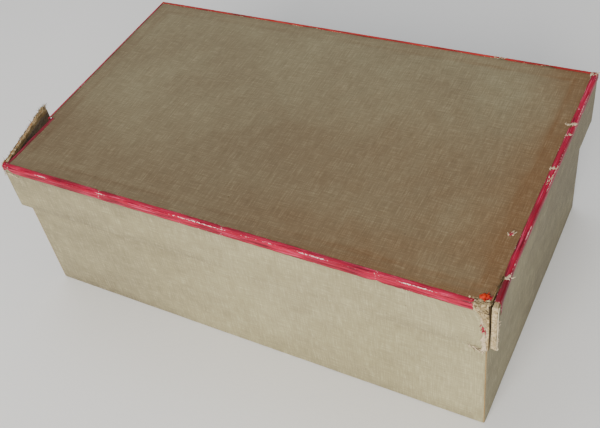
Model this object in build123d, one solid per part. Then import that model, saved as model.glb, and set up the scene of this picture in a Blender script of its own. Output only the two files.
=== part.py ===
from build123d import *
import math
import os
import random

import numpy as np

# Boxed jigsaw puzzle: a rigid paper-covered tray, a telescoping lid that lifts off, and loose wooden pieces.
# Millimetres. X runs along the long side, Y from the front to the back, Z up.
# The origin is the centre of the tray's underside, on the surface that the box stands on.

# ---- driving dimensions ----
lid_length = 254.0  # over the covering paper, along X
lid_width = 153.0  # over the covering paper, along Y
overall_height = 89.0  # underside of the tray to the top of the lid's covering paper
skirt_depth = 29.0  # how far the lid's sides reach down from the top
board = 1.8  # strawboard that the tray and the lid are made of
paper = 0.25  # linen-grained covering paper
stay = 0.15  # gummed paper strip round each corner, under the covering paper
lining = 0.2  # plain paper inside
edging = 0.15  # red paper strip folded over the lid's top edges
edging_reach = 3.2  # width of that strip on each of its two faces
end_gap = 1.0  # lid's lining to the tray's covering, at each end
side_gap = 0.4  # the same at the front and the back
seat_gap = 0.2  # lid's lining above the tray's rim when shut
sheet_gap = 0.1  # between two sheets of one piece that meet in a corner
lid_turn_in = 10.0  # covering paper folded up inside the lid's sides
rim_turn_in = 9.0  # covering paper folded down inside the tray's rim
base_turn_in = 14.0  # covering paper folded under the tray
base_margin = 3.0  # the sheet under the tray stops this far inside its edges
stay_leg = 12.0  # each leg of a corner strip

# ---- damage that the lid carries ----
flap_length = 47.0  # torn length of the left side, from the front corner
flap_angle = 12.5  # how far it leans out, about that corner
tear_gap = 0.8  # between the flap's torn end and what is left of that side
sprung_length = 26.0  # length of the right side that stands off near the front corner
sprung_offset = 1.1  # how far its end has moved out
corner_tear = 17.0  # top covering torn along the right edge, from the front corner
corner_stub = 2.0  # top covering left whole over the left side at the front corner
torn_edging_width = 1.6  # what is left of the red strip on the top beside the flap
front_tear_top = 7.5  # covering torn off the front side at its right end: width at the top
front_tear_knee = (4.1, 9.0)  # the tear's bend: from that end, and down from the top
front_tear_depth = 20.0  # how far down the tear runs
front_edging_stop = 8.5  # red strip of the front ends this far short of the right corner
cutter_past = 1.0  # cutters run this far past what they cut

# ---- wooden pieces ----
columns = 25
rows = 16
pitch = 19.0  # from one saw cut to the next
piece_thickness = 5.0
kerf = 0.3  # width of the saw cut
knob_radius = 2.5
knob_neck_radius = 1.0
knob_centre = 3.1  # from the cut line to the knob's centre
knob_shift = 1.6  # knobs stand up to this far from the middle of their side
layers = 8  # the pile is written in this many equal layers, from the bottom up
loose_pieces = 60  # the last pieces of the pile lie at a slant, and the rest lie flat
flat_tries = 1200  # places looked at for a flat piece, of which the lowest is taken
slant_tries = 30  # the same for a slanted one
steepest = 15.0  # degrees that a piece may slant
pile_gap = 0.05  # clearance between pieces that lie on each other
cell = 0.4  # spacing of the grid of heights that the pile is built on
arc_steps = 8  # points taken along each arc of an outline when it is laid on that grid
seed = 7

# ---- sizes that follow ----
skin = paper + stay
lid_wall = skin + board + lining
lid_x = lid_length / 2
lid_y = lid_width / 2
lid_board_x = lid_x - skin
lid_board_y = lid_y - skin
lid_inner_x = lid_board_x - board
lid_inner_y = lid_board_y - board
skirt_bottom = overall_height - skirt_depth
skirt_board_bottom = skirt_bottom + paper
board_top = overall_height - paper
board_under = board_top - board
lid_ceiling = board_under - lining

tray_x = lid_x - lid_wall - end_gap
tray_y = lid_y - lid_wall - side_gap
tray_board_x = tray_x - skin
tray_board_y = tray_y - skin
tray_inner_x = tray_board_x - board
tray_inner_y = tray_board_y - board
tray_rim = lid_ceiling - seat_gap
tray_board_top = tray_rim - paper
floor_under = 2 * paper
floor_top = floor_under + board
pile_floor = floor_top + lining
room_x = tray_inner_x - lining
room_y = tray_inner_y - lining

flap_pivot = (-lid_x, -lid_y)
flap_end = -lid_y + flap_length
left_start = flap_end + tear_gap


def slab(x0, x1, y0, y1, z0, z1):
    """A box from its lower to its upper corner."""
    return Pos((x0 + x1) / 2, (y0 + y1) / 2, (z0 + z1) / 2) * Box(x1 - x0, y1 - y0, z1 - z0)


def prism(points, z0, z1):
    """A flat outline of straight lines, raised from z0 to z1."""
    face = make_face(Polyline(*points, close=True))
    return Pos(0, 0, z0) * extrude(face, z1 - z0)


def ring(outer_x, outer_y, thickness, z0, z1):
    """A four-sided wall round the origin."""
    inner_x = outer_x - thickness
    inner_y = outer_y - thickness
    hollow = slab(-inner_x, inner_x, -inner_y, inner_y, z0, z1)
    return slab(-outer_x, outer_x, -outer_y, outer_y, z0, z1) - hollow


def swung(shape):
    """Turned out about the front left corner, as the torn flap is."""
    turn = Pos(*flap_pivot, 0) * Rot(0, 0, flap_angle) * Pos(-flap_pivot[0], -flap_pivot[1], 0)
    return turn * shape


def sprung(inner, outer, z0, z1, y_near, y_far):
    """A layer of the lid's right side, which stands off near the front corner."""
    bend = -lid_y + sprung_length
    lean = sprung_offset * (bend - y_near) / sprung_length
    points = [
        (inner, y_far),
        (inner, bend),
        (inner + lean, y_near),
        (outer + lean, y_near),
        (outer, bend),
        (outer, y_far),
    ]
    return prism(points, z0, z1)


def corner_strip(x, y, x_sign, y_sign, z0, z1):
    """A strip folded round the outside of a corner of the boards that stands at (x, y)."""
    points = [
        (x - stay_leg, y),
        (x, y),
        (x, y - stay_leg),
        (x + stay, y - stay_leg),
        (x + stay, y + stay),
        (x - stay_leg, y + stay),
    ]
    return prism([(x_sign * px, y_sign * py) for px, py in points], z0, z1)


# ---- tray ----
def tray_parts():
    boards_z = (floor_top, tray_board_top)
    stays = [
        corner_strip(tray_board_x, tray_board_y, x_sign, y_sign, floor_under, tray_board_top)
        for x_sign in (-1, 1)
        for y_sign in (-1, 1)
    ]
    outside = ring(tray_x, tray_y, paper, paper, tray_rim)
    over_rim = ring(tray_x - paper, tray_y - paper, stay + board + lining, tray_board_top, tray_rim)
    inside = ring(tray_inner_x, tray_inner_y, lining, tray_rim - rim_turn_in, tray_board_top)
    under = ring(tray_x - paper, tray_y - paper, base_turn_in, paper, floor_under)
    wrap = outside + over_rim + inside + under
    wall_lining = ring(tray_inner_x, tray_inner_y, lining, floor_top, tray_rim - rim_turn_in)
    x, y = tray_board_x, tray_board_y
    under_x, under_y = tray_x - base_margin, tray_y - base_margin
    return {
        "tray_floor_board": slab(-x, x, -y, y, floor_under, floor_top),
        "tray_front_board": slab(-x, x, -y, -tray_inner_y, *boards_z),
        "tray_back_board": slab(-x, x, tray_inner_y, y, *boards_z),
        "tray_left_board": slab(-x, -tray_inner_x, -tray_inner_y, tray_inner_y, *boards_z),
        "tray_right_board": slab(tray_inner_x, x, -tray_inner_y, tray_inner_y, *boards_z),
        "tray_corner_stays": stays,
        "tray_wrap": wrap,
        "tray_bottom_paper": slab(-under_x, under_x, -under_y, under_y, 0, paper),
        "tray_floor_lining": slab(-room_x, room_x, -room_y, room_y, floor_top, pile_floor),
        "tray_wall_lining": wall_lining,
    }


# ---- lid ----
def lid_boards():
    z = (skirt_board_bottom, board_top)
    x, y = lid_board_x, lid_board_y
    inner_x, inner_y = lid_inner_x, lid_inner_y
    return {
        "lid_top_board": slab(-inner_x, inner_x, -inner_y, inner_y, board_under, board_top),
        "lid_front_board": slab(-inner_x, inner_x, -y, -inner_y, *z),
        "lid_back_board": slab(-inner_x, inner_x, inner_y, y, *z),
        "lid_left_board": slab(-x, -inner_x, left_start, y, *z),
        "lid_left_flap_board": swung(slab(-x, -inner_x, -y, flap_end, *z)),
        "lid_right_board": sprung(inner_x, x, *z, -y, y),
    }


def lid_stays():
    """The strips of the back corners are whole; the front left one bends out with the flap."""
    z = (skirt_board_bottom, board_top)
    back = [corner_strip(lid_board_x, lid_board_y, x_sign, 1, *z) for x_sign in (-1, 1)]
    x, y = -lid_board_x, -lid_board_y
    on_front = slab(x + stay, x + stay_leg, y - stay, y, *z)
    on_flap = swung(slab(x - stay, x, y + stay, y + stay_leg, *z))
    return back + [on_front, on_flap]


def front_wrap(x0, x1):
    """Covering paper of the front: down the outside, round the lower edge and up inside."""
    outside = slab(x0, x1, -lid_y, -lid_y + paper, skirt_bottom, board_top)
    inner_x0, inner_x1 = max(x0, -lid_inner_x), min(x1, lid_inner_x)
    under = slab(inner_x0, inner_x1, -lid_y, -lid_inner_y + lining, skirt_bottom, skirt_board_bottom)
    turn_top = skirt_bottom + lid_turn_in
    inside = slab(inner_x0, inner_x1, -lid_inner_y, -lid_inner_y + lining, skirt_bottom, turn_top)
    return outside + under + inside


def left_wrap(y0, y1):
    """Covering paper of the left end, folded in the same way."""
    outside = slab(-lid_x, -lid_x + paper, y0, y1, skirt_bottom, board_top)
    under = slab(-lid_x, -lid_inner_x, y0, y1, skirt_bottom, skirt_board_bottom)
    inner_y0, inner_y1 = max(y0, -lid_inner_y + lining), min(y1, lid_inner_y - lining)
    turn_top = skirt_bottom + lid_turn_in
    inside = slab(-lid_inner_x, -lid_inner_x + lining, inner_y0, inner_y1, skirt_bottom, turn_top)
    return outside + under + inside


def right_wrap():
    """Covering paper of the right end, which stands off with its board."""
    near, far = -lid_board_y, lid_board_y
    inner_far = lid_inner_y - lining
    turn_top = skirt_bottom + lid_turn_in
    outside = sprung(lid_x - paper, lid_x, skirt_bottom, board_top, near, far)
    under = sprung(lid_inner_x, lid_x, skirt_bottom, skirt_board_bottom, near, far)
    inside = sprung(lid_inner_x - lining, lid_inner_x, skirt_bottom, turn_top, near, inner_far)
    return outside + under + inside


def lid_wraps():
    right, above = lid_inner_x + cutter_past, board_top + cutter_past
    torn = [
        (lid_inner_x - front_tear_top, above),
        (lid_inner_x - front_tear_top, board_top),
        (lid_inner_x - front_tear_knee[0], board_top - front_tear_knee[1]),
        (lid_inner_x, board_top - front_tear_depth),
        (right, board_top - front_tear_depth),
        (right, above),
    ]
    tear = Rot(90, 0, 0) * prism(torn, 0, paper)
    front = front_wrap(-lid_x, lid_inner_x) - Pos(0, -lid_y + paper, 0) * tear
    back = Rot(0, 0, 180) * front_wrap(-lid_x, lid_x)
    left = left_wrap(left_start, lid_y - paper)
    flap = swung(left_wrap(-lid_y + paper + sheet_gap, flap_end))
    top = slab(-lid_x, lid_x, -lid_y, lid_y, board_top, overall_height)
    top -= slab(-lid_x, -lid_inner_x, -lid_y + corner_stub, left_start, board_top, overall_height)
    top -= slab(lid_inner_x, lid_x, -lid_y, -lid_y + corner_tear, board_top, overall_height)
    return {
        "lid_top_paper": top,
        "lid_front_wrap": front,
        "lid_back_wrap": back,
        "lid_left_wrap": left,
        "lid_left_flap_wrap": flap,
        "lid_right_wrap": right_wrap(),
    }


def front_strip(x0, x1):
    """A length of the red strip folded over the front edge."""
    on_top = slab(x0, x1, -lid_y - edging, -lid_y + edging_reach, overall_height, overall_height + edging)
    down = slab(x0, x1, -lid_y - edging, -lid_y, overall_height - edging_reach, overall_height)
    return on_top + down


def left_strip(y0):
    """The red strip over the left edge, from y0 to the back strip."""
    top = (overall_height, overall_height + edging)
    on_top = slab(-lid_x - edging, -lid_x + edging_reach, y0, lid_y - edging_reach, *top)
    down = slab(-lid_x - edging, -lid_x, y0, lid_y, overall_height - edging_reach, overall_height)
    return on_top + down


def lid_edgings():
    top = (overall_height, overall_height + edging)
    face = (overall_height - edging_reach, board_top)
    near, far = -lid_y + edging_reach, lid_y - edging_reach
    torn_strip = slab(-lid_inner_x, -lid_inner_x + torn_edging_width, near, left_start - sheet_gap, *top)
    flap_strip = slab(-lid_x - edging, -lid_x, -lid_board_y, flap_end, *face)
    on_top = slab(lid_x - edging_reach, lid_x, -lid_y + corner_tear, far, *top)
    down = sprung(lid_x, lid_x + edging, overall_height - edging_reach, overall_height, -lid_board_y, lid_y)
    upper = sprung(lid_x, lid_x + edging, *top, -lid_board_y, far)
    return {
        "lid_front_edging": front_strip(-lid_x - edging, lid_x - front_edging_stop),
        "lid_back_edging": Rot(0, 0, 180) * front_strip(-lid_x - edging, lid_x + edging),
        "lid_left_edging": left_strip(left_start),
        "lid_left_torn_edging": torn_strip,
        "lid_left_flap_edging": swung(flap_strip),
        "lid_right_edging": on_top + down + upper,
    }


def lid_linings():
    x, y = lid_inner_x, lid_inner_y
    z = (skirt_bottom + lid_turn_in, lid_ceiling)
    side_x = x - lining
    sides = [
        slab(-side_x, side_x, -y, -y + lining, *z),
        slab(-side_x, side_x, y - lining, y, *z),
        slab(-x, -side_x, left_start, y - lining - sheet_gap, *z),
        sprung(side_x, x, *z, -y + lining, y - lining - sheet_gap),
    ]
    flap = slab(-x, -side_x, -y + lining, flap_end, *z)
    return {
        "lid_top_lining": slab(-x, x, -y, y, lid_ceiling, board_under),
        "lid_side_linings": sides,
        "lid_left_flap_lining": swung(flap),
    }


# ---- wooden pieces ----
def side_edges(start, end, knob, shift):
    """One side of a piece. knob is 1 for a knob, -1 for a hollow and 0 for a straight edge."""
    along = (end - start).normalized()
    out = Vector(along.Y, -along.X)
    if knob == 0:
        return [Line(start, end)]
    radius = knob_radius - knob * kerf / 2
    neck = knob_neck_radius + knob * kerf / 2
    centre = knob_centre + knob * kerf / 2
    reach = math.sqrt((radius + neck) ** 2 - (centre - neck) ** 2)
    middle = (start + end) / 2 + along * shift
    head = middle + out * (knob * centre)
    edges = []
    joins = []
    for way in (-1, 1):
        foot = middle + along * (way * reach)
        neck_centre = foot + out * (knob * neck)
        join = head + (neck_centre - head) * (radius / (radius + neck))
        toward = ((foot + join) / 2 - neck_centre).normalized()
        joins.append((foot, neck_centre + toward * neck, join))
    crown = head + out * (knob * radius)
    (foot_a, bend_a, join_a), (foot_b, bend_b, join_b) = joins
    edges.append(Line(start, foot_a))
    edges.append(ThreePointArc(foot_a, bend_a, join_a))
    edges.append(ThreePointArc(join_a, crown, join_b))
    edges.append(ThreePointArc(join_b, bend_b, foot_b))
    edges.append(Line(foot_b, end))
    return edges


def cut_joints(dice):
    """Each cut's knob: which way it points from the lower-numbered piece, and its shift."""
    joints = {}
    for column in range(columns):
        for row in range(rows):
            for name, inside in (("right", column < columns - 1), ("top", row < rows - 1)):
                if inside:
                    joints[column, row, name] = (dice.choice((-1, 1)), dice.uniform(-knob_shift, knob_shift))
    return joints


def piece_edges(column, row, joints):
    """The outline of one piece, centred on its own middle, counter-clockwise from its lower left corner."""
    half = pitch / 2 - kerf / 2
    corners = [Vector(-half, -half), Vector(half, -half), Vector(half, half), Vector(-half, half)]
    below = joints.get((column, row - 1, "top"), (0, 0))
    right = joints.get((column, row, "right"), (0, 0))
    above = joints.get((column, row, "top"), (0, 0))
    left = joints.get((column - 1, row, "right"), (0, 0))
    sides = [(-below[0], below[1]), right, (above[0], -above[1]), (-left[0], -left[1])]
    edges = []
    for number, (knob, shift) in enumerate(sides):
        edges += side_edges(corners[number], corners[(number + 1) % 4], knob, shift)
    return edges


def outline_points(edges):
    """Points along an outline, close enough to lay it on the grid."""
    points = []
    for edge in edges:
        steps = 1 if edge.geom_type == GeomType.LINE else arc_steps
        points += [edge @ (step / steps) for step in range(steps)]
    return np.array([(point.X, point.Y) for point in points])


def covered(points, grid_x, grid_y):
    """Which grid points lie inside a closed outline or beside it."""
    inside = np.zeros(grid_x.shape, bool)
    for (x0, y0), (x1, y1) in zip(points, np.roll(points, -1, axis=0)):
        if y0 != y1:
            crosses = (y0 > grid_y) != (y1 > grid_y)
            inside ^= crosses & (grid_x < (x1 - x0) * (grid_y - y0) / (y1 - y0) + x0)
    wider = inside.copy()
    for axis in (0, 1):
        for step in (-1, 1):
            wider |= np.roll(inside, step, axis=axis)
    return wider


def leaning_axes(yaw, slope_x, slope_y):
    """The directions of a piece's own X, Y and Z when it is turned by yaw and lies on a slope."""
    normal = Vector(-slope_x, -slope_y, 1).normalized()
    level = Vector(math.cos(yaw), math.sin(yaw))
    along = Vector(level.X, level.Y, slope_x * level.X + slope_y * level.Y).normalized()
    return along, normal.cross(along), normal


class Stamp:
    """The grid cells that a piece takes up when it lies at a given turn and slope."""

    def __init__(self, outline, yaw, slope_x=0.0, slope_y=0.0):
        self.along, across, self.normal = leaning_axes(yaw, slope_x, slope_y)
        lower = outline @ np.array([[self.along.X, self.along.Y], [across.X, across.Y]])
        upper = lower + piece_thickness * np.array([self.normal.X, self.normal.Y])
        both = np.vstack([lower, upper])
        low = np.floor(both.min(0) / cell) - 2
        high = np.ceil(both.max(0) / cell) + 2
        steps_x, steps_y = np.arange(low[0], high[0]), np.arange(low[1], high[1])
        grid_x, grid_y = np.meshgrid(steps_x * cell, steps_y * cell, indexing="ij")
        mask = covered(lower, grid_x, grid_y) | covered(upper, grid_x, grid_y)
        used = np.ix_(mask.any(1), mask.any(0))
        self.mask, self.grid_x, self.grid_y = mask[used], grid_x[used], grid_y[used]
        self.plane = slope_x * self.grid_x + slope_y * self.grid_y
        self.in_cell = (abs(slope_x) + abs(slope_y)) * cell / 2
        self.rise = piece_thickness / self.normal.Z + self.in_cell


class Pile:
    """A heap on the tray's floor, kept as a grid of heights."""

    def __init__(self):
        self.counts = (int(2 * room_x / cell), int(2 * room_y / cell))
        self.height = np.full(self.counts, pile_floor)

    def under(self, stamp, spot):
        """The part of the heap below a stamp whose corner is at spot."""
        width, depth = stamp.mask.shape
        return self.height[spot[0] : spot[0] + width, spot[1] : spot[1] + depth]

    def any_spot(self, stamp, dice):
        """A place for a stamp clear of the tray's sides."""
        width, depth = stamp.mask.shape
        return dice.randint(0, self.counts[0] - width), dice.randint(0, self.counts[1] - depth)

    def rest_height(self, stamp, spot):
        """How high the middle of a piece's underside is when it touches down at spot."""
        gap = pile_gap + stamp.in_cell
        return float((self.under(stamp, spot) - stamp.plane)[stamp.mask].max()) + gap

    def slope_under(self, stamp, spot):
        """The slope of the heap below a stamp, no steeper than a piece may lean."""
        mask = stamp.mask
        table = np.column_stack([stamp.grid_x[mask], stamp.grid_y[mask], np.ones(mask.sum())])
        slope_x, slope_y, _ = np.linalg.lstsq(table, self.under(stamp, spot)[mask], rcond=None)[0]
        limit = math.tan(math.radians(steepest))
        share = min(1.0, limit / max(math.hypot(slope_x, slope_y), 1e-6))
        return float(slope_x * share), float(slope_y * share)

    def flat_place(self, outline, dice):
        """The lowest of a few places for a piece that lies flat."""
        stamp = Stamp(outline, dice.uniform(0, 2 * math.pi))
        spots = [self.any_spot(stamp, dice) for _ in range(flat_tries)]
        z, spot = min((self.rest_height(stamp, spot), spot) for spot in spots)
        return z, spot, stamp

    def slanted_place(self, outline, dice):
        """The lowest of a few places for a piece that leans as the heap under it does."""
        yaw = dice.uniform(0, 2 * math.pi)
        flat = Stamp(outline, yaw)
        places = []
        for _ in range(slant_tries):
            spot = self.any_spot(flat, dice)
            stamp = Stamp(outline, yaw, *self.slope_under(flat, spot))
            width, depth = stamp.mask.shape
            spot = (min(spot[0], self.counts[0] - width), min(spot[1], self.counts[1] - depth))
            places.append((self.rest_height(stamp, spot), spot, stamp))
        return min(places, key=lambda place: place[0])

    def drop(self, outline, dice, slanted):
        """Lays a piece on the heap and returns the plane of its underside."""
        z, spot, stamp = (self.slanted_place if slanted else self.flat_place)(outline, dice)
        part = self.under(stamp, spot)
        top = z + stamp.plane + stamp.rise
        part[stamp.mask] = np.maximum(part, top)[stamp.mask]
        x = -room_x + (spot[0] + 0.5) * cell - float(stamp.grid_x[0, 0])
        y = -room_y + (spot[1] + 0.5) * cell - float(stamp.grid_y[0, 0])
        return Plane(origin=(x, y, z), x_dir=stamp.along, z_dir=stamp.normal)


def puzzle_layers():
    """All the loose pieces, in equal layers from the bottom of the pile up."""
    dice = random.Random(seed)
    joints = cut_joints(dice)
    places = [(column, row) for column in range(columns) for row in range(rows)]
    dice.shuffle(places)
    pile = Pile()
    solids = []
    for number, (column, row) in enumerate(places):
        edges = piece_edges(column, row, joints)
        slanted = number >= len(places) - loose_pieces
        bottom = pile.drop(outline_points(edges), dice, slanted)
        piece = extrude(make_face(Wire(edges)), piece_thickness)
        solids.append(Location(bottom) * piece)
    print("pile", len(solids), "pieces, top at", round(float(pile.height.max()), 1), "mm")
    size = math.ceil(len(solids) / layers)
    return {f"puzzle_pieces_{n + 1}": solids[n * size : (n + 1) * size] for n in range(layers)}


def main():
    os.makedirs("parts", exist_ok=True)
    shapes = {}
    for group in (tray_parts, lid_boards, lid_wraps, lid_edgings, lid_linings, puzzle_layers):
        shapes.update(group())
    shapes["lid_corner_stays"] = lid_stays()
    for name, shape in shapes.items():
        whole = Compound(children=shape) if isinstance(shape, list) else shape
        whole.label = name
        export_step(whole, f"parts/{name}.step")


main()
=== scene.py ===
import bisect
import bmesh
import bpy
import math
import random
from mathutils import Matrix, Vector, noise


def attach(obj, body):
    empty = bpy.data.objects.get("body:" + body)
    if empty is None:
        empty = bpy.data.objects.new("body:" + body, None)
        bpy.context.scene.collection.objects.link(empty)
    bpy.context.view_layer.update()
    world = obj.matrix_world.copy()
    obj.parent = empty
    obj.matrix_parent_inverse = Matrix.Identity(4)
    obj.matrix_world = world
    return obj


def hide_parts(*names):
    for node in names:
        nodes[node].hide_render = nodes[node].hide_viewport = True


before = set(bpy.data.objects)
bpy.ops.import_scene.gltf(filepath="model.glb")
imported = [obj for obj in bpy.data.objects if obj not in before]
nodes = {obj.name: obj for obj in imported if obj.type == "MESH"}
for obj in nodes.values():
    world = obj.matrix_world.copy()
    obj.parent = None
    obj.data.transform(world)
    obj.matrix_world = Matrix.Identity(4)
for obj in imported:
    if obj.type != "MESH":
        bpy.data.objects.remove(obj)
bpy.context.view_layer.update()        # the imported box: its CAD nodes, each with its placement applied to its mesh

mm = 0.001
dice = random.Random(11)  # every random choice below comes from this


def linear(hexColour):  # an sRGB hex value as the linear colour that a shader wants
    channels = [int(hexColour[place:place + 2], 16) / 255 for place in (1, 3, 5)]
    return tuple(c / 12.92 if c <= 0.04045 else ((c + 0.055) / 1.055) ** 2.4 for c in channels) + (1.0,)


def smoothStep(low, high, value):  # 0 at low, 1 at high and smooth between
    share = min(1.0, max(0.0, (value - low) / (high - low)))
    return share * share * (3 - 2 * share)


def between(table, value):  # the second number of a table's pairs, read off at a first number
    keys = [row[0] for row in table]
    place = min(max(bisect.bisect(keys, value), 1), len(table) - 1)
    (x0, y0), (x1, y1) = table[place - 1], table[place]
    return y0 + (y1 - y0) * min(1.0, max(0.0, (value - x0) / (x1 - x0)))


def ripple(seed, *place):  # smooth noise about 0; a place is given in units of its own grain
    point = Vector((*place, 0.0, 0.0)[:3])
    return noise.noise(point + Vector((seed * 17.3, seed * 5.1, seed * 9.7)))


def ragged(seed, along, coarse=3.0):  # how far a torn outline strays, in mm, at a distance along it
    return 0.6 * ripple(seed, along / coarse) + 0.35 * ripple(seed + 3, along / coarse * 3) \
        + 0.2 * ripple(seed + 7, along / coarse * 8)


def join(tree, node, links):  # each link goes to the input it is named by; a node stands for its first output
    for name, source in links.items():
        tree.links.new(source.outputs[0] if hasattr(source, "outputs") else source, node.inputs[name])


def addNode(tree, kind, settings=None, links=None):  # a node with its settings and its links
    node = tree.nodes.new("ShaderNode" + kind)
    for name, value in (settings or {}).items():
        if name == "stops":
            while len(node.color_ramp.elements) < len(value):
                node.color_ramp.elements.new(0.5)
            for element, (place, colour) in zip(node.color_ramp.elements, value):
                element.position, element.color = place, colour
        elif isinstance(name, int) or name in node.inputs:
            node.inputs[name].default_value = value
        else:
            setattr(node, name, value)
    join(tree, node, links or {})
    return node


def startMaterial(name, roughness, specular=0.4):  # a paper, board or wood surface, still without its colour
    material = bpy.data.materials.new(name)
    material.use_nodes = True
    tree = material.node_tree
    tree.nodes.clear()
    shader = addNode(tree, "BsdfPrincipled", {"Roughness": roughness, "IOR": 1.5,
                                              "Specular IOR Level": specular})
    addNode(tree, "OutputMaterial", links={"Surface": shader})
    return material, tree, shader


# its finishes, the body it rides on and what it stands for
def finishPiece(piece, materials, body, slot, *replaced):
    for material in materials if isinstance(materials, list) else [materials]:
        piece.data.materials.append(material)
    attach(piece, body)
    if replaced:
        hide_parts(*replaced)
    return piece


def meshPiece(name, verts, faces, uvs=None, tints=None, smooth=True):
    mesh = bpy.data.meshes.new(name)
    mesh.from_pydata([Vector(v) * mm for v in verts], [], faces)
    mesh.update()
    if uvs:
        layer = mesh.uv_layers.new(name="sheet")
        for loop in mesh.loops:
            u, v = uvs[loop.vertex_index]
            layer.data[loop.index].uv = (u * mm, v * mm)  # places on the flat sheet, in metres
    for key, values in (tints or {}).items():
        mesh.attributes.new(key, "FLOAT", "POINT").data.foreach_set("value", values)
    mesh.polygons.foreach_set("use_smooth", [smooth] * len(mesh.polygons))
    piece = bpy.data.objects.new(name, mesh)
    bpy.context.scene.collection.objects.link(piece)
    return piece


def sheetPiece(name, columns, rows, pointAt, thickness=0.25):
    # pointAt(column, row) gives the place, the place on the flat sheet, the wear there, and the soil there
    # with any painted shade
    verts, uvs, wear, soil = [], [], [], []
    for row in range(rows + 1):
        for column in range(columns + 1):
            place, flat, worn, soiledAndShaded = pointAt(column, row)
            verts.append(place)
            uvs.append(flat)
            wear.append(min(1.0, max(0.0, worn)))
            soil.append(min(1.0, max(0.0, soiledAndShaded)))
    faces = []
    for row in range(rows):
        for column in range(columns):
            a = row * (columns + 1) + column
            faces.append((a, a + 1, a + columns + 2, a + columns + 1))
    piece = meshPiece(name, verts, faces, uvs, {"wear": wear, "soil": soil})
    if thickness:
        solid = piece.modifiers.new("thickness", "SOLIDIFY")
        solid.thickness = thickness * mm
        solid.offset = -1.0
    return piece


def foldedLine(points, radius, spacing):
    # a line through these corners with each one rounded, as (place, outward normal, distance along)
    corners = [Vector((*p, 0.0)) for p in points]
    places, here = [], corners[0]
    for before, corner, after in zip(corners, corners[1:], corners[2:]):
        back, on = (before - corner).normalized(), (after - corner).normalized()
        turn = back.angle(on)
        startArc = corner + back * radius / math.tan(turn / 2)
        endArc = corner + on * radius / math.tan(turn / 2)
        centre = corner + (back + on).normalized() * radius / math.sin(turn / 2)
        count = max(1, round((startArc - here).length / spacing))
        places += [here.lerp(startArc, n / count) for n in range(count)]
        count = max(3, round((math.pi - turn) / 0.35))
        first, last = (startArc - centre).normalized(), (endArc - centre).normalized()
        places += [centre + radius * first.slerp(last, n / count) for n in range(count)]
        here = endArc
    count = max(1, round((corners[-1] - here).length / spacing))
    places += [here.lerp(corners[-1], n / count) for n in range(count + 1)]
    line, along = [], 0.0
    for n, place in enumerate(places):
        if n:
            along += (place - places[n - 1]).length
        run = (places[min(n + 1, len(places) - 1)] - places[max(n - 1, 0)]).normalized()
        line.append((place, Vector((run.y, -run.x, 0.0)), along))
    return line


# sizes that the pieces below share, in mm
box = {"lidX": 127.0, "lidY": 76.5, "skirtZ": 60.0, "topZ": 89.0, "trayX": 123.6, "trayY": 73.7,
       "rimZ": 86.55}
paperThick, boardThick = 0.25, 1.8
wallThick = 2.4  # paper, board and lining together
flap = {"pivot": (-127.0, -76.5), "angle": 12.5, "length": 47.0}
flapRun = Vector((-math.sin(math.radians(flap["angle"])), math.cos(math.radians(flap["angle"])), 0.0))
flapOut = Vector((-flapRun.y, flapRun.x, 0.0))  # the flap's outward direction
sprung = {"length": 26.0, "offset": 1.1}  # the right side stands off over this length of its near end
leftStart = -28.7  # where the left side begins again behind the flap


def standOff(y):  # how far the right side leans out at a place along it
    return sprung["offset"] * max(0.0, (-box["lidY"] + sprung["length"] - y) / sprung["length"])


print("box: tools ready")

# camera
camera = {"lens": 52.78, "place": (0.1869, -0.2828, 0.3624), "turn": 38.02, "down": 44.51, "roll": -13.15,
          "shift": (0.0714, 0.0027)}


def makeCamera():
    turn, down, roll = (math.radians(camera[key]) for key in ("turn", "down", "roll"))
    forward = Vector((-math.sin(turn) * math.cos(down), math.cos(turn) * math.cos(down), -math.sin(down)))
    level = Vector((math.cos(turn), math.sin(turn), 0.0))
    upright = level.cross(forward)
    right = level * math.cos(roll) + upright * math.sin(roll)
    up = upright * math.cos(roll) - level * math.sin(roll)
    data = bpy.data.cameras.new("camera")
    data.lens = camera["lens"]
    data.shift_x, data.shift_y = camera["shift"]
    thing = bpy.data.objects.new("camera", data)
    bpy.context.scene.collection.objects.link(thing)
    frameAxes = Matrix((right, up, -forward)).transposed().to_4x4()
    thing.matrix_world = Matrix.Translation(camera["place"]) @ frameAxes
    bpy.context.scene.camera = thing


makeCamera()

# studio: a soft lamp in front, a larger weaker one above, and an even pale room
studio = {"room": "#f1f3f6", "roomStrength": 0.46,
          "lamps": [("frontLamp", (0.25, -1.35, 0.75), 1.0, 33.0, "#fffaf2"),
                    ("topLamp", (-0.6, 0.7, 1.7), 1.6, 11.0, "#fbfcff")]}


def makeStudio():
    world = bpy.data.worlds.new("room")
    world.use_nodes = True
    backdrop = world.node_tree.nodes["Background"]
    backdrop.inputs["Color"].default_value = linear(studio["room"])
    backdrop.inputs["Strength"].default_value = studio["roomStrength"]
    bpy.context.scene.world = world
    for name, place, size, power, colour in studio["lamps"]:
        lamp = bpy.data.lights.new(name, "AREA")
        lamp.size, lamp.energy, lamp.color = size, power, linear(colour)[:3]
        thing = bpy.data.objects.new(name, lamp)
        thing.location = place
        thing.rotation_euler = (Vector((0.0, 0.0, 0.04)) - Vector(place)).to_track_quat("-Z", "Y").to_euler()
        bpy.context.scene.collection.objects.link(thing)


floorLook = {"side": 4000.0, "level": -0.02, "pale": "#f1f1f0", "deep": "#eceded", "toneScale": 3.0,
             "gritScale": 500.0}


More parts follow.
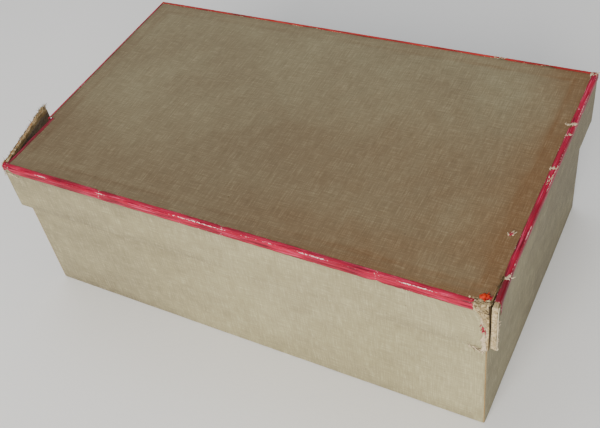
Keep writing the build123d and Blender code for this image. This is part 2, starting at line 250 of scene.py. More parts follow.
def makeFloor():  # matt paint: fine roller texture and a very faint unevenness of tone
    material, tree, shader = startMaterial("matt painted studio floor", 0.75)
    spot = addNode(tree, "TexCoord").outputs["Object"]
    tone = addNode(tree, "TexNoise", {"Scale": floorLook["toneScale"], "Detail": 3.0}, {"Vector": spot})
    colour = addNode(tree, "ValToRGB", {"stops": [(0.3, linear(floorLook["deep"])),
                                                  (0.7, linear(floorLook["pale"]))]}, {"Fac": tone})
    grit = addNode(tree, "TexNoise", {"Scale": floorLook["gritScale"], "Detail": 2.0}, {"Vector": spot})
    relief = addNode(tree, "Bump", {"Strength": 0.15, "Distance": 0.3 * mm}, {"Height": grit})
    join(tree, shader, {"Base Color": colour, "Normal": relief})
    side, level = floorLook["side"], floorLook["level"]
    corners = [(-side, -side, level), (side, -side, level), (side, side, level), (-side, side, level)]
    floor = meshPiece("studioFloor", corners, [(0, 1, 2, 3)], smooth=False)
    floor.data.materials.append(material)


makeStudio()
makeFloor()
print("box: camera, lamps and floor ready")


# linen-finish covering paper: a rag paper pressed between linen plates, dyed and dull, whose threads
# stand as a fine crosswise relief with dirt in its hollows; where it is rubbed the dye is gone
def linenPaper(name, look):
    material, tree, shader = startMaterial(name, look["roughness"], 0.3)
    sheet = addNode(tree, "UVMap", {"uv_map": "sheet"})
    pitch, run, slub = look["threadPitch"] * mm, look["threadRun"] * mm, look["slub"]
    threads = []
    # threads along the sheet and across it
    for scale in ((1 / pitch, 1 / run, 1.0), (1 / run, 1 / pitch, 1.0)):
        laid = addNode(tree, "Mapping", {"Scale": scale}, {"Vector": sheet})
        grain = addNode(tree, "TexNoise", {"Scale": 1.0, "Detail": 3.0, "Roughness": 0.7}, {"Vector": laid})
        threads.append(grain)
    weave = addNode(tree, "Math", {"operation": "ADD"}, {0: threads[0], 1: threads[1]})
    slubLaid = addNode(tree, "Mapping", {"Scale": (1 / (pitch * slub[0]), 1 / (run * slub[1]), 1.0)},
                       {"Vector": sheet})
    slubs = addNode(tree, "TexNoise", {"Scale": 1.0, "Detail": 1.0}, {"Vector": slubLaid})
    weave = addNode(tree, "Math", {"operation": "MULTIPLY_ADD", 1: 0.22}, {0: slubs, 2: weave})
    height = addNode(tree, "MapRange", {"From Min": 0.82, "From Max": 1.40}, {"Value": weave})
    # colour: broad uneven soiling, smaller blotches, then the thread hollows
    broad = addNode(tree, "TexNoise", {"Scale": 1 / (look["broad"] * mm), "Detail": 4.0, "Roughness": 0.6},
                    {"Vector": sheet})
    dyed = addNode(tree, "ValToRGB", {"stops": [(0.35, linear(look["pale"])), (0.65, linear(look["deep"]))]},
                   {"Fac": broad})
    # the soil attribute: real soil, and on the fronts and right ends of lid and tray painted shade as well
    soil = addNode(tree, "Attribute", {"attribute_name": "soil"}).outputs["Fac"]
    blot = addNode(tree, "TexNoise", {"Scale": 1 / (look["blot"] * mm), "Detail": 5.0, "Roughness": 0.65},
                   {"Vector": sheet})
    soiledAndShaded = addNode(tree, "Math", {"operation": "MULTIPLY_ADD", 1: look["blotting"],
                                    2: -look["blotting"] / 2}, {0: blot})
    soiledAndShaded = addNode(tree, "Math", {"operation": "ADD", "use_clamp": True}, {0: soil, 1: soiledAndShaded})
    side = addNode(tree, "SeparateXYZ", links={"Vector": sheet})
    handled = addNode(tree, "MapRange", {"From Min": look["handledFrom"] * mm,
                                          "From Max": look["handledTo"] * mm}, {"Value": side.outputs["X"]})
    brown = addNode(tree, "MixRGB", {"Color1": linear(look["soiledAndShaded"]), "Color2": linear(look["handled"])},
                    {"Fac": handled})
    colour = addNode(tree, "MixRGB", links={
        "Fac": soiledAndShaded, "Color1": dyed, "Color2": brown})
    dark = addNode(tree, "MapRange", {"To Min": look["hollow"], "To Max": 0.0}, {"Value": height})
    lit = addNode(tree, "MapRange", {"From Min": 0.55, "From Max": 1.0, "To Max": look["crest"]},
                  {"Value": height})
    # a few fly spots and specks
    speck = addNode(tree, "TexVoronoi", {"Scale": 1 / (look["speckGap"] * mm), "Randomness": 1.0},
                    {"Vector": sheet})
    spot = addNode(tree, "MapRange", {"From Min": 0.035, "From Max": 0.065, "To Min": 0.35, "To Max": 0.0},
                   {"Value": speck})
    # rubbed places: the wear attribute broken up by a patchy noise, so it frays rather than fades
    wear = addNode(tree, "Attribute", {"attribute_name": "wear"}).outputs["Fac"]
    patch = addNode(tree, "TexNoise", {"Scale": 1 / (look["rubGrain"] * mm), "Detail": 5.0, "Roughness": 0.7},
                    {"Vector": sheet})
    rubbed = addNode(tree, "Math", {"operation": "SUBTRACT"}, {0: patch})
    limit = addNode(tree, "MapRange", {"To Min": 0.95, "To Max": 0.25}, {"Value": wear})
    join(tree, rubbed, {1: limit})
    rubbed = addNode(tree, "MapRange", {"From Min": 0.0, "From Max": 0.09}, {"Value": rubbed})
    for tint, amount in (("grime", dark), ("thread", lit), ("spots", spot), ("rubbed", rubbed)):
        colour = addNode(tree, "MixRGB", {"Color2": linear(look[tint])}, {"Fac": amount, "Color1": colour})
    relief = addNode(tree, "Bump", {"Strength": look["relief"], "Distance": look["depth"] * mm},
                     {"Height": height})
    rough = addNode(tree, "MapRange", {"To Min": look["roughness"] - 0.08,
                                       "To Max": look["roughness"] + 0.06}, {"Value": blot})
    join(tree, shader, {"Base Color": colour, "Normal": relief, "Roughness": rough})
    return material


# threads 0.5 mm apart
linenSizes = {"threadPitch": 0.5, "threadRun": 9.0, "broad": 60.0, "blot": 9.0, "spots": "#4a3a2b",
              "slub": (2.2, 2.5), "speckGap": 9.0, "rubGrain": 1.6, "depth": 0.12,
              "handledFrom": -10, "handledTo": 100}
# the side paper; its soiled colour is also the colour of the painted shade on the right ends and towards the
# left of the fronts
sideLinen = linenPaper("fawn linen-finish paper, rubbed", dict(
    linenSizes, roughness=0.68, pale="#b5ad87", deep="#a39b76", soiledAndShaded="#7c735c", handled="#7c735c",
    grime="#665d42", thread="#cfc8a4", rubbed="#d8ccab", hollow=0.44, crest=0.38, relief=0.65, blotting=0.9))
# the top's paper: a darker copy of the side paper, partly for dirt and handling, partly as painted shade
topLinenSoiledAndShaded = linenPaper("fawn linen-finish paper, brown with handling", dict(
    linenSizes, roughness=0.66, pale="#91896c", deep="#81765c", soiledAndShaded="#6d5a42", handled="#785a3a",
    grime="#46371f", thread="#a99d7c", rubbed="#b8a684", hollow=0.44, crest=0.26, relief=0.8, blotting=0.34))


# red edging paper: a thin surface-coloured paper with a slight glaze; rubbed along its fold to its pale core
edgingGrain = {"fade": 14.0, "creaseRun": 16.0, "creaseWidth": 0.55, "fleck": 0.9, "chip": 0.75,
               "rub": (1.3, 0.8), "depth": 0.1}  # all in mm


def edgingPaper(name, look):
    material, tree, shader = startMaterial(name, 0.6, 0.25)
    grain = {key: value * mm for key, value in edgingGrain.items() if key != "rub"}
    rub = [1 / (value * mm) for value in edgingGrain["rub"]]
    sheet = addNode(tree, "UVMap", {"uv_map": "sheet"})
    fade = addNode(tree, "TexNoise", {"Scale": 1 / grain["fade"], "Detail": 4.0, "Roughness": 0.6},
                   {"Vector": sheet})
    colour = addNode(tree, "ValToRGB", {"stops": [(0.35, linear(look["red"])), (0.7, linear(look["faded"]))]},
                     {"Fac": fade})
    soil = addNode(tree, "Attribute", {"attribute_name": "soil"}).outputs["Fac"]
    # creases run along the strip: pale streaks are painted highlights on their ridges, dark streaks painted
    # shade along their sides
    along = addNode(tree, "Mapping", {"Scale": (1 / grain["creaseRun"], 1 / grain["creaseWidth"], 1.0)},
                    {"Vector": sheet})
    crease = addNode(tree, "TexNoise", {"Scale": 1.0, "Detail": 3.0, "Roughness": 0.6}, {"Vector": along})
    pale = addNode(tree, "MapRange", {"From Min": 0.57, "From Max": 0.63, "To Max": 0.55}, {"Value": crease})
    clearOfSoilAndShade = addNode(tree, "Math", {"operation": "MULTIPLY_ADD", 1: -0.8, 2: 1.0, "use_clamp": True},
                    {0: soil})
    pale = addNode(tree, "Math", {"operation": "MULTIPLY"}, {0: pale, 1: clearOfSoilAndShade})
    deep = addNode(tree, "MapRange", {"From Min": 0.47, "From Max": 0.38, "To Max": 0.9}, {"Value": crease})
    fleck = addNode(tree, "TexNoise", {"Scale": 1 / grain["fleck"], "Detail": 3.0, "Roughness": 0.6},
                    {"Vector": sheet})
    dust = addNode(tree, "MapRange", {"From Min": 0.58, "From Max": 0.72, "To Max": 0.55}, {"Value": fleck})
    wear = addNode(tree, "Attribute", {"attribute_name": "wear"}).outputs["Fac"]
    stretched = addNode(tree, "Mapping", {"Scale": (*rub, 1.0)}, {"Vector": sheet})
    patch = addNode(tree, "TexNoise", {"Scale": 1.0, "Detail": 5.0, "Roughness": 0.72}, {"Vector": stretched})
    limit = addNode(tree, "MapRange", {"To Min": 0.86, "To Max": 0.3}, {"Value": wear})
    rubbed = addNode(tree, "Math", {"operation": "SUBTRACT"}, {0: patch, 1: limit})
    pinked = addNode(tree, "MapRange", {"From Min": -0.05, "From Max": 0.03, "To Max": 0.6},
                     {"Value": rubbed})
    # small sharp chips off the glaze, wherever the fold is rubbed
    chip = addNode(tree, "TexNoise", {"Scale": 1 / grain["chip"], "Detail": 1.0}, {"Vector": sheet})
    chipped = addNode(tree, "MapRange", {"From Min": 0.615, "From Max": 0.645, "To Max": 0.06},
                      {"Value": chip})
    exposed = addNode(tree, "MapRange", {"From Min": 0.24, "From Max": 0.42}, {"Value": wear})
    chipped = addNode(tree, "Math", {"operation": "MULTIPLY"}, {0: chipped, 1: exposed})
    rubbed = addNode(tree, "Math", {"operation": "MAXIMUM"}, {0: rubbed, 1: chipped})
    bared = addNode(tree, "MapRange", {"From Min": 0.02, "From Max": 0.06}, {"Value": rubbed})
    for tint, amount in (("soiledAndShaded", soil), ("crease", pale), ("dark", deep), ("dark", dust), ("pink", pinked),
                         ("core", bared)):
        colour = addNode(tree, "MixRGB", {"Color2": linear(look[tint])}, {"Fac": amount, "Color1": colour})
    rough = addNode(tree, "MapRange", {"To Min": 0.45, "To Max": 0.8}, {"Value": bared})
    heightSum = addNode(tree, "Math", {"operation": "MULTIPLY_ADD", 1: -0.8}, {0: bared, 2: fleck})
    relief = addNode(tree, "Bump", {"Strength": 0.45, "Distance": grain["depth"]}, {"Height": heightSum})
    join(tree, shader, {"Base Color": colour, "Roughness": rough, "Normal": relief})
    return material


# crease is the colour of the painted highlights on the creases; dark is that of their painted shade, and of
# dust flecks
redEdging = edgingPaper("crimson surface-coloured paper, rubbed", {
    "red": "#ac0030", "faded": "#b8043c", "soiledAndShaded": "#6c0018", "dark": "#4a0014", "crease": "#e8648c",
    "pink": "#e27a98", "core": "#e8d4c8"})
orangeEdging = edgingPaper("crimson surface-coloured paper, faded by light", {
    "red": "#b00c14", "faded": "#c42408", "soiledAndShaded": "#6c0c08", "dark": "#4a0606", "crease": "#dc5a4a",
    "pink": "#d87a60", "core": "#e0c8a2"})
orangeScrap = edgingPaper("orange-red surface-coloured paper, faded", {
    "red": "#cc2404", "faded": "#d23c08", "soiledAndShaded": "#8c1404", "dark": "#6a1004", "crease": "#e2603a",
    "pink": "#d87a50", "core": "#e0c8a2"})


# strawboard: coarse pulped straw, pressed and cut; matt and slightly open, with darker straws in it
def fibreBoard(name, look):
    material, tree, shader = startMaterial(name, 0.85, 0.2)
    spot = addNode(tree, "TexCoord").outputs["Object"]
    broad = addNode(tree, "TexNoise", {"Scale": 1 / (12.0 * mm), "Detail": 4.0}, {"Vector": spot})
    colour = addNode(tree, "ValToRGB", {"stops": [(0.35, linear(look["pale"])),
                                                  (0.65, linear(look["deep"]))]}, {"Fac": broad})
    laid = addNode(tree, "Mapping", {"Scale": (1 / (look["run"] * mm), 1 / (look["run"] * mm),
                                               1 / (look["grain"] * mm))}, {"Vector": spot})
    straw = addNode(tree, "TexNoise", {"Scale": 1.0, "Detail": 4.0, "Roughness": 0.7}, {"Vector": laid})
    dark = addNode(tree, "MapRange", {"From Min": 0.50, "From Max": 0.66, "To Max": 0.75}, {"Value": straw})
    wear = addNode(tree, "Attribute", {"attribute_name": "wear"}).outputs["Fac"]  # fresh where it is torn
    shreds = addNode(tree, "TexNoise", {"Scale": 1 / (0.7 * mm), "Detail": 3.0}, {"Vector": spot})
    fresh = addNode(tree, "MapRange", {"From Min": 0.36, "From Max": 0.56, "To Min": 0.25, "To Max": 1.0},
                    {"Value": shreds})
    fresh = addNode(tree, "Math", {"operation": "MULTIPLY"}, {0: fresh, 1: wear})
    # grime on old tears, and painted shade in the torn corner's crevices and slit
    soil = addNode(tree, "Attribute", {"attribute_name": "soil"}).outputs["Fac"]
    for tint, amount in (("straw", dark), ("torn", fresh), ("grime", soil)):
        colour = addNode(tree, "MixRGB", {"Color2": linear(look[tint])}, {"Fac": amount, "Color1": colour})
    relief = addNode(tree, "Bump", {"Strength": 0.9, "Distance": 0.3 * mm}, {"Height": straw})
    join(tree, shader, {"Base Color": colour, "Normal": relief})
    return material


strawboard = fibreBoard("strawboard, cut and browned", {  # dull brown with dark straws
    "grime": "#33281f", "pale": "#9c8660", "deep": "#836d4a", "straw": "#4c3a22", "torn": "#d8c49c",
    "run": 1.2, "grain": 0.35})
tornBoard = fibreBoard("strawboard, freshly torn fibres", {  # paler and rougher, with dark gaps; its grime colour is also the painted shade in the torn corner's crevices and slit
    "grime": "#2e2015", "pale": "#bfa67a", "deep": "#a38a5c", "straw": "#4e3a1e", "torn": "#d6c39c",
    "run": 1.4, "grain": 0.35})
tornPaper = fibreBoard("torn paper core, off-white", {  # soft and chalky, with no dye left
    "grime": "#3a2a1c", "pale": "#d2c09f", "deep": "#b8a27e", "straw": "#765c40", "torn": "#dccab0",
    "run": 0.8, "grain": 0.6})
amberBoard = fibreBoard("strawboard stained by old glue", {  # warm orange-brown, still dull
    "grime": "#2e2015", "pale": "#bd8a4e", "deep": "#a8713a", "straw": "#5a3c1c", "torn": "#d8b684",
    "run": 1.2, "grain": 0.35})
liningPaper = fibreBoard("machine-glazed lining paper, yellowed", {  # even, smooth and greyish cream
    "grime": "#4a4030", "pale": "#bdb59c", "deep": "#ada488", "straw": "#97896c", "torn": "#c9bfa8",
    "run": 0.7, "grain": 0.7})
# a darker copy of the lining paper for the flap's inside, as painted shade
shadedFlapLining = fibreBoard("lining paper, darkened as painted shade inside the flap", {  # mottled grey-brown
    "grime": "#3a3028", "pale": "#8e7f6c", "deep": "#6f6052", "straw": "#43362c", "torn": "#a8957c",
    "run": 1.8, "grain": 1.4})
gummedPaper = fibreBoard("brown gummed paper strip", {  # plain kraft brown
    "grime": "#4a3820", "pale": "#a88a5c", "deep": "#98794c", "straw": "#7c6039", "torn": "#bfa578",
    "run": 2.0, "grain": 0.8})
print("box: papers and boards ready")

for name, node in nodes.items():  # the CAD nodes that stay, each with its finish
    finishes = (("flap_lining", shadedFlapLining), ("lining", liningPaper), ("stays", gummedPaper),
                ("", strawboard))
    finish = next(choice for part, choice in finishes if part in name)
    node.data.materials.clear()
    node.data.materials.append(finish)


# red edging: a narrow strip folded over the joint of top and side, cut by hand, so it is never quite even
edging = {"thick": 0.16, "fold": 1.0, "spacing": 0.7, "frontTop": 2.0, "frontDown": 4.2, "rightTop": 2.4,
          "rightDown": [(0.0, 7.4), (1.6, 6.6), (3.4, 3.5), (12.0, 3.2)], "backTop": 2.0, "backDown": 3.6,
          "leftTop": 1.3, "leftDown": [(0.0, 3.4), (105.0, 3.4), (108.0, 1.6), (115.0, 1.3)],
          "leftEnd": -37.8}

# top of the lid: one sheet glued over the board, its rim under the edging
topSheet = {"inset": 0.75, "tornCorner": 17.0, "spacing": 2.0, "swell": 0.18,
            # middle, reach and strength of each brown stain
            "stains": [(-40, -40, 74, 30, 0.34), (-112, -50, 36, 32, 0.44), (8, -62, 84, 13, 0.46),
                       (118, 66, 16, 16, 0.30), (20, 0, 60, 30, 0.30), (122, 0, 12, 60, 0.16),
                       (114, -66, 16, 10, -0.30), (10, 60, 70, 16, -0.14)]}


def topSoil(x, y):  # browner towards the right and near sides, with a dark line just inside the rim
    rim = min(box["lidX"] - abs(x), box["lidY"] - abs(y)) + 1.6 * ripple(21, x / 22, y / 22)
    line = math.exp(-((rim - 8.5) / 1.5) ** 2) * (0.34 + 0.25 * ripple(5, x / 17, y / 17))
    margin = (0.36 + 0.14 * smoothStep(-20, -70, y)) * (1 - smoothStep(1.5, 9.0, rim))
    soil = 0.10 + 0.40 * smoothStep(-30, 120, x) * smoothStep(70, -50, y) + 0.30 * smoothStep(95, 122, x)
    for cx, cy, rx, ry, amount in topSheet["stains"]:
        soil += amount * math.exp(-((x - cx) / rx) ** 2 - ((y - cy) / ry) ** 2)
    return soil + line + margin + 0.12 * ripple(9, x / 40, y / 40) + 0.07 * ripple(10, x / 9, y / 9)


def makeTopSheet():
    reachX, reachY = box["lidX"] - topSheet["inset"], box["lidY"] - topSheet["inset"]
    columns, rows = round(2 * reachX / topSheet["spacing"]), round(2 * reachY / topSheet["spacing"])

    def pointAt(column, row):
        x = -reachX + 2 * reachX * column / columns
        y = -reachY + 2 * reachY * row / rows
        if y < edging["leftEnd"]:  # torn away along the left side, nearly as far as the flap reached
            x = max(x, -124.2 + 0.5 * ragged(31, y) + 2.5 * smoothStep(-72, -76, y) * -1)
        if y < -box["lidY"] + topSheet["tornCorner"]:  # and at the near right corner
            x = min(x, 124.6 + 0.35 * ragged(33, y) - 0.8 * smoothStep(-66, -76, y))
        if x > 116.5:  # the corner itself is torn down to the board
            y = max(y, -75.75 + 1.9 * smoothStep(116.5, 118.4, x) + 0.45 * ragged(35, x, 1.6))
        swell = topSheet["swell"] * (1 - (x / reachX) ** 4) * (1 - (y / reachY) ** 4)
        dip = -0.10 * math.exp(-((min(reachX - abs(x), reachY - abs(y)) - 8.0) / 2.0) ** 2)
        z = box["topZ"] + swell + dip + 0.05 * ripple(2, x / 12, y / 12)
        rimWear = 0.35 * (1 - smoothStep(0.5, 4.0, min(reachX - abs(x), reachY - abs(y))))
        return (x, y, z), (x, y), rimWear, topSoil(x, y)

    sheet = sheetPiece("lidTopSheet", columns, rows, pointAt, thickness=0.22)
    finishPiece(sheet, topLinenSoiledAndShaded, "lid", "lid_top_linen_paper", "lid_top_paper")


makeTopSheet()

# sides of the lid: each covering sheet goes down the outside, round the lower edge and up inside
sideSheet = {"foldRadius": 0.55, "cornerRadius": 1.1, "turnIn": 10.0, "top": 88.2, "spacing": 1.6}
frontEnd = [(60.0, 123.4), (61.4, 122.7), (67.5, 123.5), (71.4, 124.7), (75.7, 124.1), (78.4, 123.2),
            (81.4, 122.1),
            (84.1, 120.4), (84.6, 118.7), (88.9, 118.2)]  # where the front sheet is torn off, by height
foldIn = foldedLine([(-wallThick, box["skirtZ"] + sideSheet["turnIn"]), (-wallThick, box["skirtZ"]),
                     (0.0, box["skirtZ"]), (0.0, sideSheet["top"])], sideSheet["foldRadius"], 1.6)
outsideOnly = [step for step in foldIn if step[0].x > -wallThick + 0.6]


def sideWear(z, along, end, seed):  # rubbed at the lower edge, and at a corner when near an end
    low = 0.62 * math.exp(-max(0.0, z - box["skirtZ"] - 0.2) / 0.55)
    corner = 0.6 * math.exp(-end / 1.1) if end >= 0 else 0.0
    return max(low, corner) + 0.10 * ripple(seed, along / 6, z / 6)


def sideSoil(z, along, seed):
    grimy = 0.18 * (1 - smoothStep(60, 66, z)) + 0.25 * smoothStep(80, 86, z)
    return 0.16 + grimy + 0.24 * ripple(seed, along / 40, z / 12)


def makeFrontWrap():
    plan = foldedLine([tuple((Vector((*flap["pivot"], 0)) + flapRun * 5.0)[:2]), flap["pivot"],
                       (124.8, -box["lidY"])],
                      sideSheet["cornerRadius"], sideSheet["spacing"])

    def pointAt(column, row):
        place, outward, along = plan[column]
        (out, z, _), _, up = outsideOnly[row]
        x = place.x
        if x > 90:
            x = 90 + (x - 90) / 34.8 * (between(frontEnd, z) + 0.45 * ragged(41, z, 2.2) - 90)
        wander = 0.12 * ripple(51, along / 15, z / 15) + 0.18 * math.sin(math.pi * (z - 60) / 29)
        spread = out + wander * smoothStep(0, 12, along)
        zz = z + (0.2 * ripple(53, along / 18) if z < 62 else 0)
        end = max(0.0, 127 + x) if x < -110 else 99.0
        worn = sideWear(z, along, end, 3)
        worn = max(worn, 0.75 * math.exp(-max(0.0, between(frontEnd, z) - x) / 0.5))
        # painted shade: the front sheet is darkened towards its left end
        return (x + outward.x * spread, place.y + outward.y * spread, zz), (along, up), worn, \
            sideSoil(z, along, 4) + 0.38 * smoothStep(20, -105, x)

    wrap = sheetPiece("lidFrontWrap", len(plan) - 1, len(outsideOnly) - 1, pointAt)
    finishPiece(wrap, sideLinen, "lid", "linen_paper", "lid_front_wrap")


def makeTurnIns():  # the part of each side's sheet that is folded inside the lid
    inside = [step for step in foldIn if step[0].x < -0.4]
    sides = [("lidFrontTurnIn", (-124.6, -box["lidY"]), (124.0, -box["lidY"])),
             ("lidBackTurnIn", (124.6, box["lidY"]), (-124.6, box["lidY"])),
             ("lidLeftTurnIn", (-box["lidX"], 74.1), (-box["lidX"], leftStart + 0.3))]
    for name, start, end in sides:
        plan = foldedLine([start, end], 1.0, 3.0)

        def pointAt(column, row):
            place, outward, along = plan[column]
            (out, z, _), _, up = inside[row]
            rise = 0.5 * ragged(61, along, 9.0) if z > 69.9 else 0.0
            return (place.x + outward.x * out, place.y + outward.y * out, z + rise), (along, up), \
                sideWear(z, along, 99, 5), 0.15 + 0.2 * ripple(6, along / 20, z / 9)

        piece = sheetPiece(name, len(plan) - 1, len(inside) - 1, pointAt, thickness=0.2)
        finishPiece(piece, sideLinen, "lid", "linen_paper")


def makeBackWrap():
    plan = foldedLine([(box["lidX"], 66.0), (box["lidX"], box["lidY"]), (-box["lidX"], box["lidY"]),
                       (-box["lidX"], 66.0)], sideSheet["cornerRadius"], 2.0)

    def pointAt(column, row):
        place, outward, along = plan[column]
        (out, z, _), _, up = outsideOnly[row]
        wander = 0.15 * ripple(55, along / 15, z / 15) + 0.2 * math.sin(math.pi * (z - 60) / 29)
        out += wander * smoothStep(0, 14, along) * smoothStep(plan[-1][2], plan[-1][2] - 14, along)
        end = min(abs(place.x - box["lidX"]), abs(place.x + box["lidX"])) if place.y > 74 else 2.0
        zz = z + (0.2 * ripple(57, along / 18) if z < 62 else 0)
        return (place.x + outward.x * out, place.y + outward.y * out, zz), (along, up), \
            sideWear(z, along, end, 7), sideSoil(z, along, 8)

    wrap = sheetPiece("lidBackWrap", len(plan) - 1, len(outsideOnly) - 1, pointAt)
    finishPiece(wrap, sideLinen, "lid", "linen_paper", "lid_back_wrap")


def makeEndWraps():  # left and right ends; each laps over the back sheet where that turns the corner
    def leftPoint(column, row):
        (out, z, _), _, up = outsideOnly[row]
        y = 74.6 + 0.15 * ragged(63, z) + (leftStart + 0.35 * ragged(64, z, 2.0) - 74.6) * column / 60
        spread = out + 0.14 + 0.12 * ripple(56, y / 15, z / 15)
        worn = max(sideWear(z, y, 99, 9), 0.7 * math.exp(-(y - leftStart) / 0.8))
        return (-box["lidX"] - spread, y, z), (100 - y, up), worn, sideSoil(z, y, 10)

    wrap = sheetPiece("lidLeftWrap", 60, len(outsideOnly) - 1, leftPoint)
    finishPiece(wrap, sideLinen, "lid", "linen_paper", "lid_left_wrap")

    def rightPoint(column, row):
        (out, z, _), _, up = outsideOnly[row]
        near = -76.0 + 0.5 * ragged(65, z, 2.4) + 1.2 * smoothStep(84, 89, z) + 1.4 * smoothStep(64, 60, z)
        y = near + (74.6 - near) * (column / 90) ** 1.15
        spread = out + 0.14 + standOff(y) + 0.12 * ripple(58, y / 15, z / 15)
        worn = max(sideWear(z, y, 99, 11), 0.85 * math.exp(-(y - near) / 0.9))
        shade = 0.42 + 0.38 * smoothStep(-55, 15, y)
        # painted shade along a long crease
        shade += 0.35 * math.exp(-((z - 73.5 - 0.07 * y) / 0.7) ** 2) * smoothStep(-60, -20, y)
        return (box["lidX"] + spread, y, z), (400 + y, up), worn, sideSoil(z, y, 12) + shade

    wrap = sheetPiece("lidRightWrap", 90, len(outsideOnly) - 1, rightPoint)
    finishPiece(wrap, sideLinen, "lid", "linen_paper", "lid_right_wrap")


def makeFlapWrap():
    columns = 30

    def pointAt(column, row):  # columns are counted from the tip, so that the sheet faces out
        (out, z, _), _, up = foldIn[row]
        end = flap["length"] - 0.2 + 0.8 * ragged(71, z, 3.0)
        along = 1.4 + (end - 1.4) * (columns - column) / columns
        lift = 0.14 + 0.10 * ripple(73, along / 8, z / 8)
        spread = out + (lift if out > -1 else 0)
        place = Vector((*flap["pivot"], 0)) + flapRun * along + flapOut * spread
        worn = max(sideWear(z, along, 99, 13), 0.8 * math.exp(-(end - along) / 1.0))
        return (place.x, place.y, z + 0.25 * ripple(74, along / 7) * smoothStep(86, 88.2, z)), (600 + along,
                                                                                                up), \
            worn, sideSoil(z, along, 14)

    wrap = sheetPiece("lidFlapWrap", columns, len(foldIn) - 1, pointAt)
    finishPiece(wrap, sideLinen, "lid", "linen_paper", "lid_left_flap_wrap")


makeFrontWrap()
makeTurnIns()
makeBackWrap()
makeEndWraps()
makeFlapWrap()
print("box: lid sheets ready")


def makeEdging(name, corners, top, down, material, seed, node, chips=(), lean=None, upTo=None,
               grime=((0, 0.10), (1, 0.10))):
    # chips are missing bits: their place along the strip, their width and depth, under 0 at its lower edge
    plan = foldedLine(corners, 0.9, edging["spacing"])
    columns, length = len(plan) - 1, plan[-1][2]
    fold, thick = edging["fold"], edging["thick"]
    centreOut, centreZ = thick - fold, box["topZ"] + thick - fold
    if upTo:
        arc = [(thick, upTo)]
    else:
        arc = [(centreOut + fold * math.cos(math.radians(a)), centreZ + fold * math.sin(math.radians(a)))
               for a in range(0, 91, 15)]
    sideRows, topRows = 6, 0 if upTo else 5
    rows = sideRows + len(arc) - 1 + topRows

    def pointAt(column, row):
        spot, outward, along = plan[column]
        lowZ = box["topZ"] - (between(down, along) if isinstance(down, list) else down) \
            + 0.30 * ragged(seed, along, 7.0)
        topIn = -top + 0.24 * ragged(seed + 1, along, 6.0)
        bite = 0.0
        for place, width, depth in chips:
            share = math.exp(-((along - place + 0.6 * ripple(seed, along)) / width) ** 2)
            if depth > 0:
                topIn += depth * share
            else:
                lowZ -= depth * share
            bite = max(bite, share)
        if row < sideRows:
            out, z = thick, lowZ + (arc[0][1] - lowZ) * row / sideRows
            flat = z - box["topZ"]
        elif row < sideRows + len(arc):
            out, z = arc[row - sideRows]
            flat = z - box["topZ"] + (fold - out) * 0.6
        else:
            out = centreOut + (topIn - centreOut) * (row - sideRows - len(arc) + 1) / topRows
            z = box["topZ"] + thick
            flat = fold - out
        bump = 0.07 * ripple(seed + 2, along / 9, row / 1.3) + 0.05 * ripple(seed + 4, along / 1.2, row / 2)
        if row in (0, rows):  # its edges lie down on the sheets
            bump -= 0.09
        if row <= sideRows:
            out += bump + 0.12 + 0.18 * math.sin(math.pi * (z - 60) / 29)
        else:
            z += bump
        x, y = spot.x + outward.x * out, spot.y + outward.y * out
        crease = math.exp(-((row - sideRows - 2.2) / 1.5) ** 2)
        edge = math.exp(-min(row, rows - row) / 0.5)
        patchy = smoothStep(-0.15, 0.35, ripple(seed + 5, along / 11))
        worn = max(crease * (0.34 + 0.42 * patchy), edge * 0.45 * patchy, 0.22 * patchy, 0.42 * bite)
        ends = 0.45 * math.exp(-min(along, length - along) / 0.9)
        # painted shade: dark lines along two grooves of the strip, in patches along it
        grooved = smoothStep(-0.3, 0.15, ripple(seed + 8, along / 13))
        grooveShade = (0.85 * (row == 3) + 0.65 * (row == sideRows + 2)) * grooved
        if row == rows:  # its inner edge is rubbed pale here and there
            worn = max(worn, 0.66 * smoothStep(-0.05, 0.3, ripple(seed + 9, along / 6)))
        blotch = smoothStep(0.0, 0.4, ripple(seed + 6, along / 16))
        soiledAndShaded = between(grime, along) + 0.40 * blotch + 0.75 * edge + grooveShade
        return (x + (lean(y) if lean else 0.0), y, z), (along + seed * 31, flat), max(worn, ends), soiledAndShaded

    strip = sheetPiece(name, columns, rows, pointAt, thickness=thick)
    finishPiece(strip, material, "lid", "red_edging_paper", node)


def onFlap(along, out=0.0):  # a place on the flap, by the distance from its corner and out from its face
    place = Vector((*flap["pivot"], 0)) + flapRun * along + flapOut * out
    return place.x, place.y


x, y = box["lidX"], box["lidY"]
makeEdging("lidFrontEdging", [onFlap(2.2), flap["pivot"], (118.4, -y)], edging["frontTop"],
           edging["frontDown"], redEdging, 80, "lid_front_edging",
           [(64, 1.5, 0.6), (133, 1.2, 0.5), (207, 2.0, -0.6), (5, 2.2, -2.2)])
makeEdging("lidRightEdging", [(x, -72.9), (x, y - 0.2)], edging["rightTop"],
           edging["rightDown"], redEdging, 90, "lid_right_edging",
           [(12, 1.4, 0.9), (78, 1.0, 0.8), (108, 1.4, 1.2), (120, 1.2, -0.9)], standOff,
           grime=[(0, 0.95), (9, 0.75), (22, 0.30), (60, 0.25), (140, 0.15)])
makeEdging("lidBackEdging", [(x, y - 2.5), (x, y), (-x, y), (-x, y - 2.0)], edging["backTop"],
           edging["backDown"], orangeEdging, 100, "lid_back_edging",
           [(25, 2.5, 0.9), (49, 2.6, 1.0), (153, 2.2, 0.6)])
makeEdging("lidLeftEdging", [(-x, y - 1.6), (-x, edging["leftEnd"])], edging["leftTop"],
           edging["leftDown"], redEdging, 110, "lid_left_edging", [(30, 1.5, 0.5), (70, 1.2, 0.5)])
makeEdging("lidFlapEdging", [onFlap(flap["length"] + 0.4), onFlap(2.6)], 0.0, 3.2, redEdging, 115,
           "lid_left_flap_edging", upTo=88.3)


